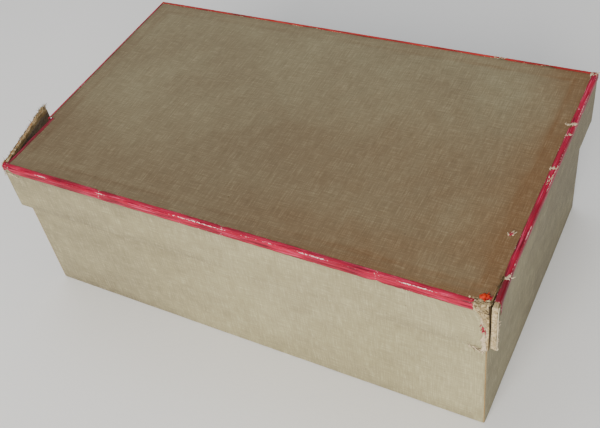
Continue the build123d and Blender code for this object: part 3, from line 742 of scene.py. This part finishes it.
def makeTornEdging():  # what is left of the edging on the top panel, beside the flap
    def pointAt(column, row):
        y = -74.6 + (edging["leftEnd"] + 75.4) * column / 90
        outer = -124.7 + 0.30 * ragged(131, y, 3.0)
        inner = -123.1 + 0.40 * ragged(133, y, 2.5) - 0.5 * smoothStep(-66, -75, y)
        x = outer + (inner - outer) * row / 4
        z = box["topZ"] + 0.10 + 0.12 * ripple(135, y / 1.5, row) + 0.10 * (row == 0)
        return (x, y, z), (y + 900, x), 0.05 + 0.2 * (row == 0), 0.92 + 0.3 * ripple(136, y / 5)

    strip = sheetPiece("lidTornEdging", 90, 4, pointAt, thickness=0.12)
    for polygon in strip.data.polygons:
        polygon.flip()
    finishPiece(strip, redEdging, "lid", "red_edging_paper", "lid_left_torn_edging")


makeTornEdging()
print("box: edging ready")

# torn board: each side's board that shows is a bar with its broken end and top worked rough
torn = {"boardGap": 0.15, "flapZ": (60.25, 88.55), "rightZ": (60.25, 88.75), "flareFrom": 0.72,
        "splitOpen": 0.75,
        "rightEnd": -76.1, "frayReach": 2.0, "cornerLift": 0.6, "cornerFold": 0.8, "cornerEnd": 125.0}


def barPiece(name, stations, sectionAt):
    # a solid bar from loops of places; sectionAt(station) gives the loop and the wear at each of its places
    verts, faces, wear = [], [], []
    for station in range(stations + 1):
        loop, worn = sectionAt(station)
        verts += loop
        wear += worn
    count = len(verts) // (stations + 1)
    for station in range(stations):
        for n in range(count):
            a, b = station * count + n, station * count + (n + 1) % count
            faces.append((a, b, b + count, a + count))
    faces.append(tuple(range(count))[::-1])
    faces.append(tuple(range(stations * count, (stations + 1) * count)))
    return meshPiece(name, verts, faces, None, {"wear": wear})


# the outline across a board as (out, z, wear); fray is its roughness
def boardLoop(seed, along, fray, lowZ, highZ):
    outer = -(paperThick + torn["boardGap"])
    inner = outer - boardThick
    loop = []
    for n in range(13):  # down the outer face
        z = highZ - (highZ - lowZ) * n / 12
        loop.append((outer, z, 0.5 * fray))
    for n in range(1, 4):
        loop.append((outer + (inner - outer) * n / 4, lowZ, fray))
    for n in range(13):  # up the inner face
        z = lowZ + (highZ - lowZ) * n / 12
        loop.append((inner, z, 0.0))
    for n in range(1, 6):  # across its top
        out = inner + (outer - inner) * n / 6
        rough = 0.35 * ripple(seed, along / 1.1, n / 1.2) + 0.25 * ripple(seed + 1, along / 0.4, n)
        loop.append((out, highZ + fray * rough, fray))
    return loop


def makeFlapBoard():
    count = 120

    def sectionAt(station):
        end = flap["length"] - 0.6
        loop, worn = [], []
        share = station / count
        flare = smoothStep(torn["flareFrom"], 1.0, share)
        base = 0.4 + (end - 0.4) * share
        for out, z, wear in boardLoop(141, base, 1.0, *torn["flapZ"]):
            top = smoothStep(84.0, 88.6, z)
            along = base + (0.9 * ragged(143, z, 2.0) * flare if station == count else 0.0)
            split = -(out + 1.3) * torn["splitOpen"] * flare * top  # its layers open out near the tip
            out2 = out - split + top * 0.12 * ripple(145, base / 0.8, out)
            z2 = z + top * (0.45 * ripple(147, base / 1.6) + 0.25 * flare)
            px, py = onFlap(along, out2)
            loop.append((px, py, z2))
            worn.append(max(wear * top, 0.9 * math.exp(-(end - base) / 1.0)))
        return loop, worn

    piece = barPiece("lidFlapBoard", count, sectionAt)
    finishPiece(piece, strawboard, "lid", "strawboard", "lid_left_flap_board")


def makeRightBoard():
    places = [torn["rightEnd"] + 0.35 * n for n in range(12)] + [-71.0 + 147.1 * (n / 40) for n in range(41)]
    count = len(places) - 1

    def sectionAt(station):
        y = places[station]
        near = math.exp(-(y - torn["rightEnd"]) / torn["frayReach"])
        loop, worn = [], []
        lowZ = torn["rightZ"][0] + 2.2 * math.exp(-(y - torn["rightEnd"]) / 1.4)
        for out, z, wear in boardLoop(151, y, near, lowZ, torn["rightZ"][1]):
            endRough = near * (0.55 * ripple(153, out * 1.4, z / 1.6) + 0.35 * ripple(154, out * 3, z / 0.5))
            swollen = near * (0.2 if out > -1.3 else -0.2)
            loop.append((box["lidX"] + standOff(y) + out + swollen, y - endRough,
                         z + near * 0.3 * ripple(155, out, y)))
            worn.append(near)
        return loop, worn

    piece = barPiece("lidRightBoard", count, sectionAt)
    finishPiece(piece, strawboard, "lid", "strawboard", "lid_right_board")


def makeTornCorner():  # the front right corner, where paper and edging are torn away down to the board
    over = foldedLine([(2.9, box["topZ"] + 0.04), (0.22, box["topZ"] + 0.04), (0.22, 60.35)],
                      torn["cornerFold"], 0.35)
    columns = 40

    def pointAt(column, row):
        (back, z, _), _, along = over[row]
        onTop = back > 0.9
        start = 115.8 if onTop else between(frontEnd, z) - 1.0
        start += 0.3 * ragged(161, along, 1.5)
        share = column / columns
        x = start + (torn["cornerEnd"] + 0.14 * ripple(162, along / 1.4) - start) * share
        relief = 0.42 * ripple(163, x / 0.9, along / 2.2) + 0.34 * ripple(164, x / 0.4, along / 0.8)
        layers = 0.22 * smoothStep(-0.1, 0.1, ripple(165, x / 2.0, along / 3.5))
        lift = max(-0.12, relief * torn["cornerLift"] + layers) * min(1.0, 4 * share, 8 * (1 - share) + 0.25)
        z2, y = z, -box["lidY"] + back
        if onTop:
            z2 += lift * 0.8
        else:
            y -= lift + 0.05
        rim = math.exp(-(x - start - 1.0) / 1.1)
        # painted shade: darker in the crevices between the torn layers, and at the slit
        creviceShade = smoothStep(0.05, 0.34, ripple(166, x / 1.3, along / 0.55)) + 0.8 * smoothStep(0.05, -0.25,
                                                                                                relief)
        slitShade = 0.0 if onTop else smoothStep(0.90, 0.98, share)
        return (x, y, z2), (x, along), max(0.95 * rim, 0.45 + 0.4 * layers / 0.22), \
            max(slitShade, 0.85 * creviceShade * (1 - rim))

    patch = sheetPiece("lidTornCorner", columns, len(over) - 1, pointAt, thickness=0.0)
    finishPiece(patch, tornBoard, "lid", "strawboard")


def shredPiece(name, groups, material, slot, seed, worn, soiledAndShaded=0.0):
    # torn bits: each group is (from, to, which way they point, which way they curl, count, lengths, widths,
    # scatter), all in mm
    luck = random.Random(seed)
    verts, faces = [], []
    for start, end, lean, curl, count, lengths, widths, scatter in groups:
        start, end, lean, curl = Vector(start), Vector(end), Vector(lean).normalized(), \
            Vector(curl).normalized()
        for _ in range(count):
            jitter = Vector([luck.gauss(0, scatter) for _ in range(3)])
            jitter -= curl * jitter.dot(curl) * 0.8
            root = start.lerp(end, luck.random()) + jitter
            way = (lean + Vector([luck.gauss(0, 0.45) for _ in range(3)])).normalized()
            way = (way - curl * way.dot(curl) * 0.75).normalized()
            side = way.cross(curl).normalized()
            length, width = luck.uniform(*lengths), luck.uniform(*widths)
            bend, sway = luck.uniform(0.05, 0.5), luck.gauss(0, 0.25)
            base = len(verts)
            for n in range(5):
                share = n / 4
                spine = root + way * length * share + curl * (bend * length
                                                              * share ** 2) \
                    + side * sway * length * share ** 2
                half = width / 2 * (0.55 + 0.65 * luck.random()) * (1 - 0.75 * share ** 2)
                verts.append(spine - side * half)
                verts.append(spine + side * half + curl * width * 0.1 * luck.gauss(0, 1))
                if n:
                    k = base + 2 * n
                    faces.append((k - 2, k - 1, k + 1, k))
    piece = meshPiece(name, verts, faces, [(v.x, v.y + v.z) for v in verts], {"wear": [worn] * len(verts),
                                                                       "soil": [soiledAndShaded] * len(verts)})
    solid = piece.modifiers.new("thickness", "SOLIDIFY")
    solid.thickness = 0.1 * mm
    finishPiece(piece, material, "lid", slot)


def makeShreds():
    top, up, front, right = box["topZ"] + 0.15, (0, 0, 1), (0, -1, 0), (1, 0, 0)
    fx, fy = box["lidX"], box["lidY"]
    strands = [
        ((118.2, -fy + 0.5, top), (124.0, -74.2, top), (1, -0.3, 0.1), up, 60, (0.6, 2.0), (0.12, 0.4), 0.5),
        ((119.6, -fy - 0.2, 88.0), (124.0, -fy - 0.2, 87.4), (0.8, -0.2, -0.5), front, 40, (0.6, 2.0),
         (0.12, 0.4), 0.5),
        ((121.0, -fy - 0.3, 84.0), (123.8, -fy - 0.3, 78.0), (0.5, 0, -1), front, 34, (0.5, 1.6),
         (0.12, 0.35), 0.4),
        ((126.6, -fy + 0.3, 87.6), (127.4, -fy + 0.2, 86.6), (0.2, -0.6, -1), front, 20, (0.4, 1.2),
         (0.15, 0.4), 0.3),
        ((126.8, -fy + 0.3, 84.0), (127.2, -fy + 0.2, 63.4), (0.1, -0.3, -1), front, 46, (0.4, 1.1),
         (0.12, 0.4), 0.3)]
    flapTop = [((*onFlap(2, -1.2), 88.6), (*onFlap(44, -1.3), 88.7), (0, 1, 0.3), up, 150, (0.4, 1.3),
                (0.12, 0.35), 0.35),
               ((*onFlap(33, -1.3), 88.8), (*onFlap(46, -1.5), 88.9), (0, 1, 0.6), up, 90, (0.6, 2.0),
                (0.15, 0.5), 0.5),
               ((*onFlap(46.0, -1.2), 88.0), (*onFlap(45.9, -1.2), 62.0), (-0.2, 1, 0.5), (-0.3, 1, 0), 80,
                (0.3, 1.0),
                (0.12, 0.35), 0.3)]
    shredPiece("lidBoardShreds", strands + flapTop, tornBoard, "strawboard", 5, 0.6)
    browned = [  # old torn fibres, darkened, and one dark crumb stuck to the top
        ((-3.1, -57.8, top), (-2.9, -57.6, top), (1, 0, 0), up, 4, (0.5, 0.8), (0.4, 0.6), 0.06),
        ((118.4, -fy + 0.4, top + 0.1), (123.8, -74.6, top + 0.1), (1, -0.2, 0.1), up, 26, (0.7, 2.2),
         (0.1, 0.24), 0.5),
        ((119.4, -fy - 0.35, 87.6), (123.6, -fy - 0.35, 86.0), (0.9, 0, -0.5), front, 16, (0.7, 2.0),
         (0.1, 0.22), 0.5),
        ((117.0, -fy - 0.5, 61.2), (122.8, -fy - 0.5, 60.2), (1, 0, -0.3), front, 12, (0.8, 2.2),
         (0.12, 0.26), 0.15),
        ((125.2, -69.0, top), (125.7, -61.0, top), (0.1, 1, 0), up, 22, (0.8, 2.4), (0.12, 0.3), 0.15),
        ((*onFlap(2, -0.2), 88.7), (*onFlap(45, -0.2), 88.9), (-0.2, 1, 0.2), up, 70, (0.5, 2.0),
         (0.12, 0.3), 0.15),
        ((*onFlap(4, -2.3), 88.7), (*onFlap(46, -2.6), 88.9), (-0.2, 1, 0.2), up, 70, (0.5, 2.0),
         (0.12, 0.3), 0.15),
        ((*onFlap(36, -1.4), 88.9), (*onFlap(47, -1.6), 89.0), (-0.2, 1, 0.5), up, 50, (0.6, 2.4),
         (0.15, 0.4), 0.4)]
    shredPiece("lidBrownedFibres", browned, tornBoard, "strawboard", 9, 0.0, 0.8)
    ambers = [  # glue-stained fibres along the flap's torn top and its tip
        ((*onFlap(6, -1.2), 88.8), (*onFlap(46, -1.3), 89.0), (-0.2, 1, 0.3), up, 80, (0.5, 1.8),
         (0.15, 0.4), 0.45),
        ((*onFlap(0.4, -0.3), 88.8), (*onFlap(4.0, -0.4), 88.9), (-0.2, 1, 0), up, 20, (0.6, 1.8),
         (0.2, 0.4), 0.3)]
    shredPiece("lidAmberFibres", ambers, amberBoard, "strawboard", 10, 0.2, 0.0)
    flakes = [
        ((121.6, -fy - 0.3, 81.6), (123.9, -fy - 0.3, 71.5), (0.2, 0, -1), front, 16, (0.8, 1.8), (0.4, 0.9),
         0.2),
        ((123.3, -fy - 0.3, 71.0), (123.2, -fy - 0.3, 61.6), (0.1, 0, -1), front, 34, (1.0, 2.6), (0.7, 1.4),
         0.22),
        ((116.4, -fy - 0.35, 61.6), (122.6, -fy - 0.35, 60.4), (1, 0, -0.25), front, 22, (0.8, 2.2),
         (0.3, 0.7), 0.2),
        ((117.6, -fy - 0.2, 88.2), (118.6, -fy + 1.6, top), (1, 0.4, 0), up, 14, (0.6, 1.4), (0.3, 0.7), 0.3),
        ((128.25, -fy + 0.9, 83.0), (128.25, -fy + 0.9, 62.6), (0.0, 0.1, -1), right, 40, (0.6, 1.6),
         (0.4, 0.9), 0.12),
        ((125.4, -61.0, top), (127.2, -59.2, top), (1, 0.5, 0), up, 12, (0.8, 1.7), (0.3, 0.8), 0.4),
        ((122.8, 35.0, top), (126.9, 36.2, top), (0.4, 1, 0), up, 26, (0.6, 1.5), (0.35, 0.8), 0.35),
        ((124.0, 27.5, top), (126.4, 29.0, top), (0.6, 0.7, 0), up, 12, (0.5, 1.1), (0.3, 0.6), 0.35),
        ((124.6, 4.4, top), (126.9, 5.6, top), (0.3, 1, 0), up, 18, (0.6, 1.4), (0.35, 0.7), 0.35),
        ((125.4, -6.0, top), (126.6, 1.0, top), (0.1, 1, 0), up, 14, (0.6, 1.6), (0.2, 0.5), 0.25),
        ((-37.8, 55.6, top), (-37.4, 55.8, top), (1, 0, 0), up, 2, (0.6, 1.0), (0.5, 0.8), 0.1),
        ((119.6, -38.6, top), (121.4, -37.2, top), (0.7, 1, 0), up, 7, (1.0, 2.0), (0.35, 0.8), 0.35),
        ((124.6, fy - 3.2, top), (126.8, fy - 1.0, top), (0.4, 1, 0), up, 16, (0.6, 1.6), (0.3, 0.7), 0.4),
        ((76.0, fy - 1.4, top), (82.0, fy - 0.8, top), (1, 0.1, 0), up, 12, (0.6, 1.6), (0.25, 0.6), 0.3),
        ((-126.4, -fy - 0.35, 84.6), (-118.6, -fy - 0.35, 83.6), (1, 0, -0.2), front, 34, (0.6, 1.6),
         (0.3, 0.7), 0.3),
        ((-127.2, -fy - 0.1, 88.4), (-127.3, -fy + 0.2, 82.6), (0.1, 0, -1), (-1, -1, 0), 26, (0.6, 1.6),
         (0.3, 0.6), 0.2),
        ((*onFlap(0.2, 0.2), 88.6), (*onFlap(3.5, 0.3), 86.4), (0, 0.2, -1), (-1, 0, 0), 20, (0.5, 1.4),
         (0.3, 0.7), 0.3)]
    shredPiece("lidPaperFlakes", flakes, tornPaper, "linen_paper", 6, 0.6)
    scraps = [
        ((119.8, -73.0, top), (122.2, -72.2, top), (1, 0.3, 0), up, 30, (1.2, 2.4), (0.7, 1.3), 0.32)]
    shredPiece("lidEdgingScrap", scraps, orangeScrap, "red_edging_paper", 7, 0.0)
    # the bits beside the orange scrap stand for the dark shadow below it; the last argument of their call
    # darkens all the red bits, as painted shadow
    redBits = [
        ((119.9, -38.4, top + 0.1), (121.2, -37.4, top + 0.1), (0.7, 1, 0), up, 5, (0.9, 1.7), (0.3, 0.6),
         0.3),
        ((122.6, -73.4, top), (124.0, -71.6, top), (0.5, 1, 0), up, 14, (0.8, 1.6), (0.4, 0.8), 0.3),
        ((122.6, -fy - 0.45, 78.5), (123.2, -fy - 0.45, 74.0), (0, 0, -1), front, 9, (1.2, 2.6), (0.45, 0.9),
         0.2)]
    shredPiece("lidRedScraps", redBits, redEdging, "red_edging_paper", 8, 0.1, 0.35)


makeFlapBoard()
makeRightBoard()
makeTornCorner()
makeShreds()
print("box: torn corners ready")

# tray: covered all round outside, over the rim and down inside, with its corners and lower edge rubbed
tray = {"corner": 1.3, "rimFold": 0.6, "turnIn": 9.0, "under": 14.0, "sideSteps": (90, 56),
        "bottom": (120.4, 70.5), "bottomSteps": (96, 56)}


def ringPoints(halfX, halfY, radius):  # one turn round the tray, always with the same number of places
    nx, ny = tray["sideSteps"]
    radius = max(radius, 0.02)
    corners = [(1, -1, -90), (1, 1, 0), (-1, 1, 90), (-1, -1, 180)]
    counts = [ny, nx, ny, nx]
    places = []
    for n, (sx, sy, angle) in enumerate(corners):
        centre = Vector((sx * (halfX - radius), sy * (halfY - radius)))
        for step in range(5):
            a = math.radians(angle + 90 * step / 4)
            places.append(centre + radius * Vector((math.cos(a), math.sin(a))))
        nextX, nextY, nextAngle = corners[(n + 1) % 4]
        a = math.radians(nextAngle)
        target = Vector((nextX * (halfX - radius), nextY * (halfY - radius))) \
            + radius * Vector((math.cos(a), math.sin(a)))
        here = places[-1]
        places += [here.lerp(target, step / counts[n]) for step in range(1, counts[n])]
    places.append(places[0].copy())
    return places


def makeTrayWrap():
    profile = foldedLine([(-tray["under"], 0.25), (0.0, 0.25), (0.0, box["rimZ"]), (-wallThick, box["rimZ"]),
                          (-wallThick, box["rimZ"] - tray["turnIn"])], tray["rimFold"], 2.0)
    rows = len(profile)
    rings = [ringPoints(box["trayX"] + p.x, box["trayY"] + p.x, tray["corner"] + p.x) for p, _, _ in profile]
    heights = [p.y for p, _, _ in profile]
    flats = [along for _, _, along in profile]
    around = [0.0]
    outer = ringPoints(box["trayX"], box["trayY"], tray["corner"])
    for p, q in zip(outer, outer[1:]):
        around.append(around[-1] + (q - p).length)

    def pointAt(column, row):
        place, z = rings[row][column], heights[row]
        out = profile[row][0].x
        outerPlace = outer[column]
        overX, overY = box["trayX"] - abs(outerPlace.x), box["trayY"] - abs(outerPlace.y)
        cornerNear = max(overX, overY)
        bulge = 0.0
        if out > -0.05:
            swell = math.sin(math.pi * min(1.0, max(0.0, z / 86.0)))
            bulge = (0.35 * swell + 0.15 * ripple(121, around[column] / 25, z / 25)) * smoothStep(0.5, 25,
                                                                                                  cornerNear)
        if 62 < z:
            bulge *= 1 - smoothStep(60, 70, z) * 0.8  # it fits inside the lid there
        normal = Vector((1.0 if outerPlace.x > 0 else -1.0, 0)) if overX < overY else \
            Vector((0, 1.0 if outerPlace.y > 0 else -1.0))
        corner = math.exp(-max(0.0, cornerNear - 0.6) / 0.9)
        foot = math.exp(-max(0.0, z - 0.6) / 0.8) if out > -2 else 0.0
        worn = max(0.62 * corner * (0.7 + 0.5 * ripple(123, z / 7, column)), 0.6 * foot,
                   0.5 if z > 86 else 0.0) + 0.08 * ripple(124, around[column] / 6, z / 6)
        soiledAndShaded = 0.16 + 0.24 * ripple(125, around[column] / 45, z / 22) + 0.22 * (1 - smoothStep(0, 9, z))
        if outerPlace.x > 122.9 and out > -0.05:  # painted shade: its right end darkened, more towards the back, and its front darkened towards the left
            soiledAndShaded += 0.42 + 0.36 * smoothStep(-50, 20, outerPlace.y)
        elif outerPlace.y < -73 and out > -0.05:
            soiledAndShaded += 0.44 * smoothStep(20, -105, outerPlace.x)
        return (place.x + normal.x * bulge, place.y + normal.y * bulge, z), (around[column],
                                                                             flats[row]), worn, soiledAndShaded

    wrap = sheetPiece("trayWrap", len(outer) - 1, rows - 1, pointAt)
    weld = wrap.modifiers.new("join", "WELD")
    weld.merge_threshold = 0.01 * mm
    finishPiece(wrap, sideLinen, "tray", "linen_paper", "tray_wrap")


def makeTrayBottom():  # the sheet glued over the tray's underside, scuffed from being slid on and off shelves
    reachX, reachY = tray["bottom"]
    columns, rows = tray["bottomSteps"]

    def pointAt(column, row):
        x, y = reachX - 2 * reachX * column / columns, -reachY + 2 * reachY * row / rows
        edge = min(reachX - abs(x), reachY - abs(y))
        if edge < 0.01:
            inwards = 0.25 * (1 + ripple(171, y / 9)) if x > 0 else -0.25
            x, y = x - inwards, y + (0.3 * ripple(172, x / 9) if y < 0 else 0.0)
        worn = 0.30 * math.exp(-edge / 4) + 0.14 * ripple(173, x / 30, y / 8) + 0.10
        soiledAndShaded = 0.30 + 0.3 * ripple(175, x / 40, y / 30)
        return (x, y, 0.03 + 0.02 * ripple(174, x / 20, y / 20)), (x, y + 400), worn, soiledAndShaded

    sheet = sheetPiece("trayBottomSheet", columns, rows, pointAt, thickness=0.2)
    finishPiece(sheet, sideLinen, "tray", "linen_paper", "tray_bottom_paper")


makeTrayWrap()
makeTrayBottom()
print("box: tray sheets ready")

# puzzle pieces: fretsawn from three-ply with a print glued on one side, and a knife-fine bevel where the
# saw broke the edge
pieces = {"bevel": 0.22, "thickness": 5.0, "faceUpShare": 0.55, "pitch": 19.0, "columns": 25, "rows": 16}


def picturePrint():  # an offset print of plain soft country colours under a thin varnish, a little yellowed
    material, tree, shader = startMaterial("printed paper, varnished", 0.38, 0.5)
    place = addNode(tree, "UVMap", {"uv_map": "sheet"})
    wavy = addNode(tree, "TexNoise", {"Scale": 1 / (45 * mm), "Detail": 4.0}, {"Vector": place})
    split = addNode(tree, "SeparateXYZ", links={"Vector": place})
    height = addNode(tree, "Math", {"operation": "DIVIDE", 1: pieces["pitch"] * pieces["rows"] * mm},
                     {0: split.outputs["Y"]})
    height = addNode(tree, "Math", {"operation": "MULTIPLY_ADD", 1: 0.5}, {0: wavy, 2: height})
    land = addNode(tree, "ValToRGB", {"stops": [
        (0.22, linear("#6d4a2a")), (0.36, linear("#4f6a2c")), (0.52, linear("#7f8f3c")),
        (0.66, linear("#b59a4a")),
        (0.78, linear("#7f9a93")), (0.90, linear("#8fb2c8")), (1.0, linear("#d9d6bd"))]},
        {"Fac": addNode(tree, "MapRange", {"From Max": 1.5}, {"Value": height})})
    leaves = addNode(tree, "TexNoise", {"Scale": 1 / (3.2 * mm), "Detail": 5.0, "Roughness": 0.7},
                     {"Vector": place})
    shade = addNode(tree, "ValToRGB", {"stops": [(0.38, linear("#4a4538")), (0.62, linear("#e8dcc0"))]},
                    {"Fac": leaves})
    colour = addNode(tree, "MixRGB", {"blend_type": "OVERLAY", "Fac": 0.6}, {"Color1": land, "Color2": shade})
    yellow = addNode(tree, "MixRGB", {"blend_type": "MULTIPLY", "Fac": 0.35, "Color2": linear("#d8c48e")},
                     {"Color1": colour})
    grain = addNode(tree, "TexNoise", {"Scale": 1 / (0.5 * mm), "Detail": 2.0}, {"Vector": place})
    relief = addNode(tree, "Bump", {"Strength": 0.15, "Distance": 0.05 * mm}, {"Height": grain})
    join(tree, shader, {"Base Color": yellow, "Normal": relief})
    return material


# birch veneer: fine straight grain, satin from sanding; its cut edge shows the plies
def birchPly(name, look):
    material, tree, shader = startMaterial(name, look["roughness"], 0.35)
    place = addNode(tree, "UVMap", {"uv_map": "sheet"})
    laid = addNode(tree, "Mapping", {"Scale": look["grain"]}, {"Vector": place})
    grain = addNode(tree, "TexNoise", {"Scale": 1.0, "Detail": 4.0, "Roughness": 0.6}, {"Vector": laid})
    colour = addNode(tree, "ValToRGB", {"stops": [(0.35, linear(look["deep"])),
                                                  (0.65, linear(look["pale"]))]}, {"Fac": grain})
    if look["plies"]:
        split = addNode(tree, "SeparateXYZ", links={"Vector": place})
        depth = addNode(tree, "Math", {"operation": "DIVIDE", 1: pieces["thickness"] * mm},
                        {0: split.outputs["Y"]})
        layers = addNode(tree, "ValToRGB", {"stops": [
            (0.0, linear("#cfae7c")), (0.30, linear("#c7a470")), (0.33, linear("#6b4a28")),
            (0.36, linear("#a47c4c")),
            (0.62, linear("#9a7344")), (0.65, linear("#6b4a28")), (0.68, linear("#cdab78")),
            (0.97, linear("#c7a470")),
            (1.0, linear("#e8dfc8"))]}, {"Fac": depth})
        colour = addNode(tree, "MixRGB", {"blend_type": "MULTIPLY", "Fac": 0.8},
                         {"Color1": layers, "Color2": colour})
    relief = addNode(tree, "Bump", {"Strength": 0.3, "Distance": 0.08 * mm}, {"Height": grain})
    join(tree, shader, {"Base Color": colour, "Normal": relief})
    return material


picture = picturePrint()
plyBack = birchPly("birch plywood, sanded", {"roughness": 0.55, "pale": "#c9a777", "deep": "#a9834f",
                                             "plies": False,
                                             "grain": (1 / (14 * mm), 1 / (0.5 * mm), 1.0)})
plyEdge = birchPly("birch plywood edge, fretsawn", {"roughness": 0.8, "pale": "#f0e2c8", "deep": "#b79a72",
                                                    "plies": True,
                                                    "grain": (1 / (0.6 * mm), 1 / (3 * mm), 1.0)})


def islands(work):  # the separate pieces of a layer, each as its list of faces
    left = set(work.faces)
    while left:
        first = min(left, key=lambda face: face.index)
        left.discard(first)
        group, edge = [first], [first]
        while edge:
            for side in edge.pop().edges:
                for face in side.link_faces:
                    if face in left:
                        left.discard(face)
                        group.append(face)
                        edge.append(face)
        yield group


def makePieces(number):
    source = nodes[f"puzzle_pieces_{number}"]
    work = bmesh.new()
    work.from_mesh(source.data)
    bmesh.ops.remove_doubles(work, verts=work.verts, dist=0.001 * mm)
    bmesh.ops.dissolve_limit(work, angle_limit=math.radians(1.0), verts=work.verts, edges=work.edges)
    work.faces.ensure_lookup_table()
    work.faces.index_update()
    flat = []
    for group in islands(work):
        up = max(group, key=lambda face: face.calc_area()).normal.copy()
        up *= 1 if up.z > 0 else -1
        flat += [edge for edge in {edge for face in group if abs(face.normal.dot(up)) > 0.99
                                   for edge in face.edges}
                 if edge.is_manifold and edge.calc_face_angle() > 1.0]
    work.edges.index_update()
    flat.sort(key=lambda edge: edge.index)
    bmesh.ops.bevel(work, geom=flat, offset=pieces["bevel"] * mm, segments=1, affect="EDGES",
                    clamp_overlap=True)
    work.faces.ensure_lookup_table()
    work.faces.index_update()
    sheet = work.loops.layers.uv.new("sheet")
    for group in islands(work):
        up = max(group, key=lambda face: face.calc_area()).normal.copy()
        up *= 1 if up.z > 0 else -1
        heights = [vert.co.dot(up) for face in group for vert in face.verts]
        low = min(heights)
        middle = sum((face.calc_center_median() for face in group), Vector()) / len(group)
        turn = dice.uniform(0, math.tau)
        across = (Vector((math.cos(turn), math.sin(turn), 0)) - up * up.dot(Vector((math.cos(turn),
                                                                                    math.sin(turn), 0))))
        across.normalize()
        along = up.cross(across)
        home = Vector((dice.randrange(pieces["columns"]),
                       dice.randrange(pieces["rows"]))) * pieces["pitch"] * mm
        pictureUp = dice.random() < pieces["faceUpShare"]
        for face in group:
            facing = face.normal.dot(up)
            if abs(facing) > 0.9:
                face.material_index = 0 if (facing > 0) == pictureUp else 1
                face.smooth = False
            else:
                face.material_index = 2
                face.smooth = abs(facing) < 0.3
            for loop in face.loops:
                spot = loop.vert.co - middle
                if face.material_index < 2:
                    loop[sheet].uv = home + Vector((spot.dot(across), spot.dot(along)))
                else:
                    rise = loop.vert.co.dot(up) - low
                    loop[sheet].uv = (spot.dot(across) + spot.dot(along),
                                      rise if pictureUp else pieces["thickness"] * mm - rise)
    for edge in work.edges:
        edge.smooth = edge.is_manifold and edge.calc_face_angle() < 0.6
    mesh = bpy.data.meshes.new(f"puzzleLayer{number}")
    work.to_mesh(mesh)
    work.free()
    layer = bpy.data.objects.new(f"puzzleLayer{number}", mesh)
    bpy.context.scene.collection.objects.link(layer)
    finishPiece(layer, [picture, plyBack, plyEdge], "tray", "plywood", f"puzzle_pieces_{number}")


for number in range(1, 9):
    makePieces(number)
print("box: puzzle pieces ready")
